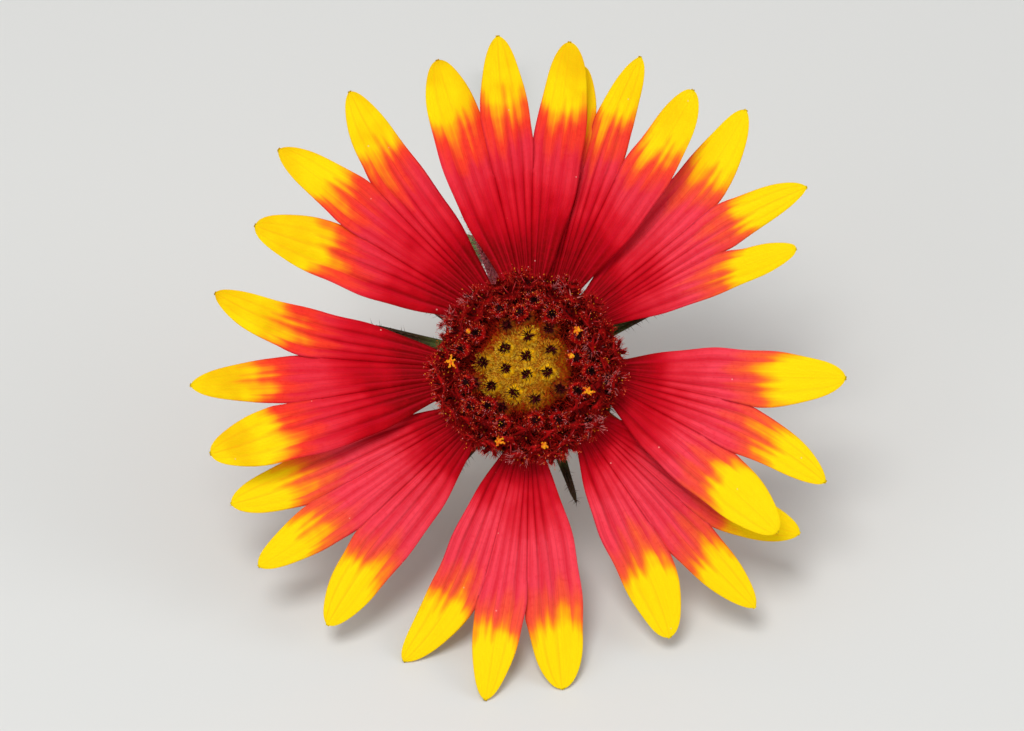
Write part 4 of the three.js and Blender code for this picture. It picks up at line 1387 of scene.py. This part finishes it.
class LeafShape:
    """A blade broadest past its middle, bluntly toothed, with sunken veins."""

    def __init__(self, side, root_y, reach, half_width, teeth):
        self.root = Vector((stem_x(root_y) + side * (STEM_RADIUS - 0.15), root_y))
        self.tip = self.root + Vector((side * LEAF_GAP, 0)) + Vector(reach)
        self.bow = Vector((self.root.x + reach[0] * 0.62, self.root.y + reach[1] * 0.3))
        self.half_width, self.teeth = half_width, teeth

    def point(self, along, across):
        rest = 1 - along
        centre = self.root * rest**2 + self.bow * 2 * rest * along + self.tip * along**2
        ahead = ((self.bow - self.root) * rest + (self.tip - self.bow) * along).normalized()
        outline = 0.18 * rest + math.sin(math.pi * along**1.35) ** 0.9
        step = (along * self.teeth * 1.6) % 1
        notch = 1 - smoothstep(step, 0.9, 1)
        tooth = 0.22 * (step * notch - 0.5) * smoothstep(along, 0.2, 0.35)
        reach = max(0.05, self.half_width * outline * (1 + tooth * abs(across)))
        lift = 0.8 * (1 - smoothstep(along, 0, 0.16))
        lift += max(0, abs(across) - 0.5) * (0.8 + 0.7 * math.sin(9 * along)) * math.sin(math.pi * along)
        vein = abs((along * SIDE_VEINS - abs(across) * VEIN_SLANT) % 1 - 0.5) * 2
        furrow = 0.12 * smoothstep(vein, 0.72, 1) * math.sin(math.pi * along) * (1 - abs(across))
        rib = 0.2 * (1 - smoothstep(abs(across), 0.0, 0.1)) * (1 - 0.6 * along)
        pucker = 0.1 * noise.noise(Vector((centre.x * 0.7, centre.y * 0.7, across * 3)))
        flat = centre + Vector((-ahead.y, ahead.x)) * across * reach
        return Vector((flat.x, flat.y, BLADE_THICKNESS / 2 + 0.12 + lift - furrow - rib + pucker))


def leaf_finish(settings):
    """Matt green with a pale midrib, side veins and a fine mesh between them."""
    look = Finish(
        "Leaf", Specular_IOR_Level=0.35, Sheen_Weight=0.2, Sheen_Roughness=0.5,
        Subsurface_Weight=0.08, Subsurface_Scale=0.0006,
    )
    u, along = look.uv_parts()
    across = look.math("ABSOLUTE", look.math("MULTIPLY_ADD", u, 2, -1))
    rows = look.math("MULTIPLY", along, SIDE_VEINS)
    slant = look.math("SUBTRACT", rows, look.math("MULTIPLY", across, VEIN_SLANT))
    from_vein = look.math("PINGPONG", slant, 0.5)
    midrib = look.fade(across, 0.02, 0.07, 1, 0)
    vein = look.math("MAXIMUM", look.fade(from_vein, 0.0, 0.07, 0.7, 0), midrib)
    mesh = look.node(
        "TexVoronoi", look.place(), settings={"feature": "DISTANCE_TO_EDGE"}, named={"Scale": 1500}
    ).outputs["Distance"]
    blotch = look.mottle(240, 3, 0.6)
    grain = look.mottle(5200, 2, 0.6)
    dark = [value * 0.62 for value in settings.leaf]
    base = look.tint(settings.leaf, dark, blotch, 0.3, 0.7)
    base = look.tint(base, srgb(122, 150, 76), mesh, 0.0, 0.12, 0.35, 0)
    base = look.mix(look.math("MULTIPLY", vein, 0.75), base, srgb(150, 170, 104))
    base = look.tint(base, srgb(112, 84, 50), across, 0.86, 1, 0, 0.5)
    relief = look.math("ADD", look.fade(mesh, 0, 0.2), look.math("MULTIPLY", grain, 0.4))
    return look.finish(base, look.fade(grain, 0.3, 0.7, 0.5, 0.72), relief, 0.05)


class FLOWER_OT_leaves(bpy.types.Operator):
    """Build the two veined leaves and their short hairs"""

    bl_idname = "flower.leaves"
    bl_label = "Leaves"

    def execute(self, context):
        settings = context.scene.flower_green
        chance = random.Random(37)
        finish = leaf_finish(settings)
        hairs = []
        for name, measures in LEAVES.items():
            shape = LeafShape(*measures)
            bm = bmesh.new()
            uv_grid(bm, 40, 140, shape.point)
            bmesh.ops.solidify(bm, geom=bm.faces[:], thickness=BLADE_THICKNESS)
            bmesh.ops.recalc_face_normals(bm, faces=bm.faces)
            rise = Vector((0, 0, LEAF_CLEARANCE - min(vert.co.z for vert in bm.verts)))
            bmesh.ops.translate(bm, vec=rise, verts=bm.verts)
            add_piece(f"{name}_blade", bm, FLOWER, [finish], [name])
            for _ in range(HAIRS_ON_LEAF):
                along, across = chance.uniform(0.02, 0.99), chance.uniform(-1, 1)
                if chance.random() < 0.35:
                    across = math.copysign(0.99, across)
                root = shape.point(along, across) + rise
                direction = Vector((chance.uniform(-1, 1), chance.uniform(-1, 1), 1.1))
                reach = chance.uniform(0.2, 0.5)
                hairs.append((hair_placing(root, direction, reach, 0.018, across), chance.random()))
        pale = hair_finish(
            "Leaf Hair", srgb(120, 140, 90), srgb(186, 196, 160), srgb(222, 226, 206), srgb(234, 236, 222)
        )
        add_copies("leaf_hairs", hair_template(2.0), hairs, FLOWER, pale)
        return {"FINISHED"}


# ---- Stage ------------------------------------------------------------------------------------

CAMERA_DISTANCE = 0.284
CAMERA_LENS = 120
LIGHT_DISTANCE = 0.7
# How far left and up of the bloom's middle the camera aims, in metres.
AIM_LEFT, AIM_UP = 0.83 * MM, 0.2 * MM


class FLOWER_OT_stage(bpy.types.Operator):
    """Build the floor, the soft lights, the surround and the camera"""

    bl_idname = "flower.stage"
    bl_label = "Floor, Lights and Camera"

    def execute(self, context):
        settings = context.scene.flower_stage
        bm = bmesh.new()
        bmesh.ops.create_grid(bm, x_segments=8, y_segments=8, size=settings.floor_width / 2)
        mesh = bpy.data.meshes.new("floor")
        bm.to_mesh(mesh)
        bm.free()
        look = Finish("Floor")
        cloud = look.mottle(9, 3, 0.5)
        pale = settings.floor
        shade = look.mix(cloud, pale, [value * 0.96 for value in pale])
        mesh.materials.append(look.finish(shade, 0.85))
        floor = bpy.data.objects.new("floor", mesh)
        context.scene.collection.objects.link(floor)

        centre = BLOOM @ Vector((0, 0, 0))
        facing = (BLOOM.to_3x3() @ Vector((0, 0, 1))).normalized()
        upward = (BLOOM.to_3x3() @ Vector((0, 1, 0))).normalized()
        across = Vector((1, 0, 0))
        for name, direction, size, power in (
            ("key", facing * 0.9 + upward * 0.42 - across * 0.16, 0.3, 2.7),
            ("fill", facing * 0.8 - across * 0.8 - upward * 0.1, 0.5, 0.7),
            ("rim", facing * 0.5 + across * 0.9 + upward * 0.3, 0.4, 0.8),
        ):
            light = bpy.data.lights.new(name, "AREA")
            light.shape, light.size, light.energy = "DISK", size, power
            lamp = bpy.data.objects.new(name, light)
            lamp.location = centre + direction.normalized() * LIGHT_DISTANCE
            lamp.rotation_euler = direction.to_track_quat("Z", "Y").to_euler()
            context.scene.collection.objects.link(lamp)

        world = bpy.data.worlds.new("Surround")
        world.use_nodes = True
        background = world.node_tree.nodes["Background"]
        background.inputs["Color"].default_value = (0.95, 0.96, 1, 1)
        background.inputs["Strength"].default_value = 0.45
        context.scene.world = world

        camera = bpy.data.cameras.new("camera")
        camera.lens, camera.sensor_width = CAMERA_LENS, 36
        camera.clip_start, camera.clip_end = 0.01, 20
        view = bpy.data.objects.new("camera", camera)
        aim = centre - across * AIM_LEFT + upward * AIM_UP
        view.location = aim + facing * CAMERA_DISTANCE
        view.rotation_euler = facing.to_track_quat("Z", "Y").to_euler()
        context.scene.collection.objects.link(view)
        context.scene.camera = view
        context.scene.view_settings.view_transform = "Standard"
        return {"FINISHED"}


# ---- Add-on -----------------------------------------------------------------------------------

SETTINGS = {
    "flower_petals": PetalSettings,
    "flower_disc": DiscSettings,
    "flower_green": GreenSettings,
    "flower_stage": StageSettings,
}
OPERATORS = [
    FLOWER_OT_stage,
    FLOWER_OT_ray_florets,
    FLOWER_OT_disc_centre,
    FLOWER_OT_disc_ring,
    FLOWER_OT_pollen,
    FLOWER_OT_involucre,
    FLOWER_OT_stem,
    FLOWER_OT_leaves,
]


class FLOWER_PT_pieces(bpy.types.Panel):
    """Lists the flower's sizes and colours and the operators that build it"""

    bl_idname = "FLOWER_PT_pieces"
    bl_label = "Blanket Flower"
    bl_space_type = "VIEW_3D"
    bl_region_type = "UI"
    bl_category = "Blanket Flower"

    def draw(self, context):
        for name, group in SETTINGS.items():
            box = self.layout.box()
            for key in group.__annotations__:
                box.prop(getattr(context.scene, name), key)
        for operator in OPERATORS:
            self.layout.operator(operator.bl_idname)


def register():
    for group in SETTINGS.values():
        bpy.utils.register_class(group)
    for operator in OPERATORS:
        bpy.utils.register_class(operator)
    bpy.utils.register_class(FLOWER_PT_pieces)
    for name, group in SETTINGS.items():
        setattr(bpy.types.Scene, name, PointerProperty(type=group))


def unregister():
    for name in SETTINGS:
        delattr(bpy.types.Scene, name)
    bpy.utils.unregister_class(FLOWER_PT_pieces)
    for group in [*OPERATORS, *SETTINGS.values()]:
        bpy.utils.unregister_class(group)


def main():
    register()
    bpy.ops.flower.stage()
    bpy.ops.flower.ray_florets()
    bpy.ops.flower.disc_centre()
    bpy.ops.flower.disc_ring()
    bpy.ops.flower.pollen()
    bpy.ops.flower.involucre()
    bpy.ops.flower.stem()
    bpy.ops.flower.leaves()


if __name__ == "__main__":
    main()
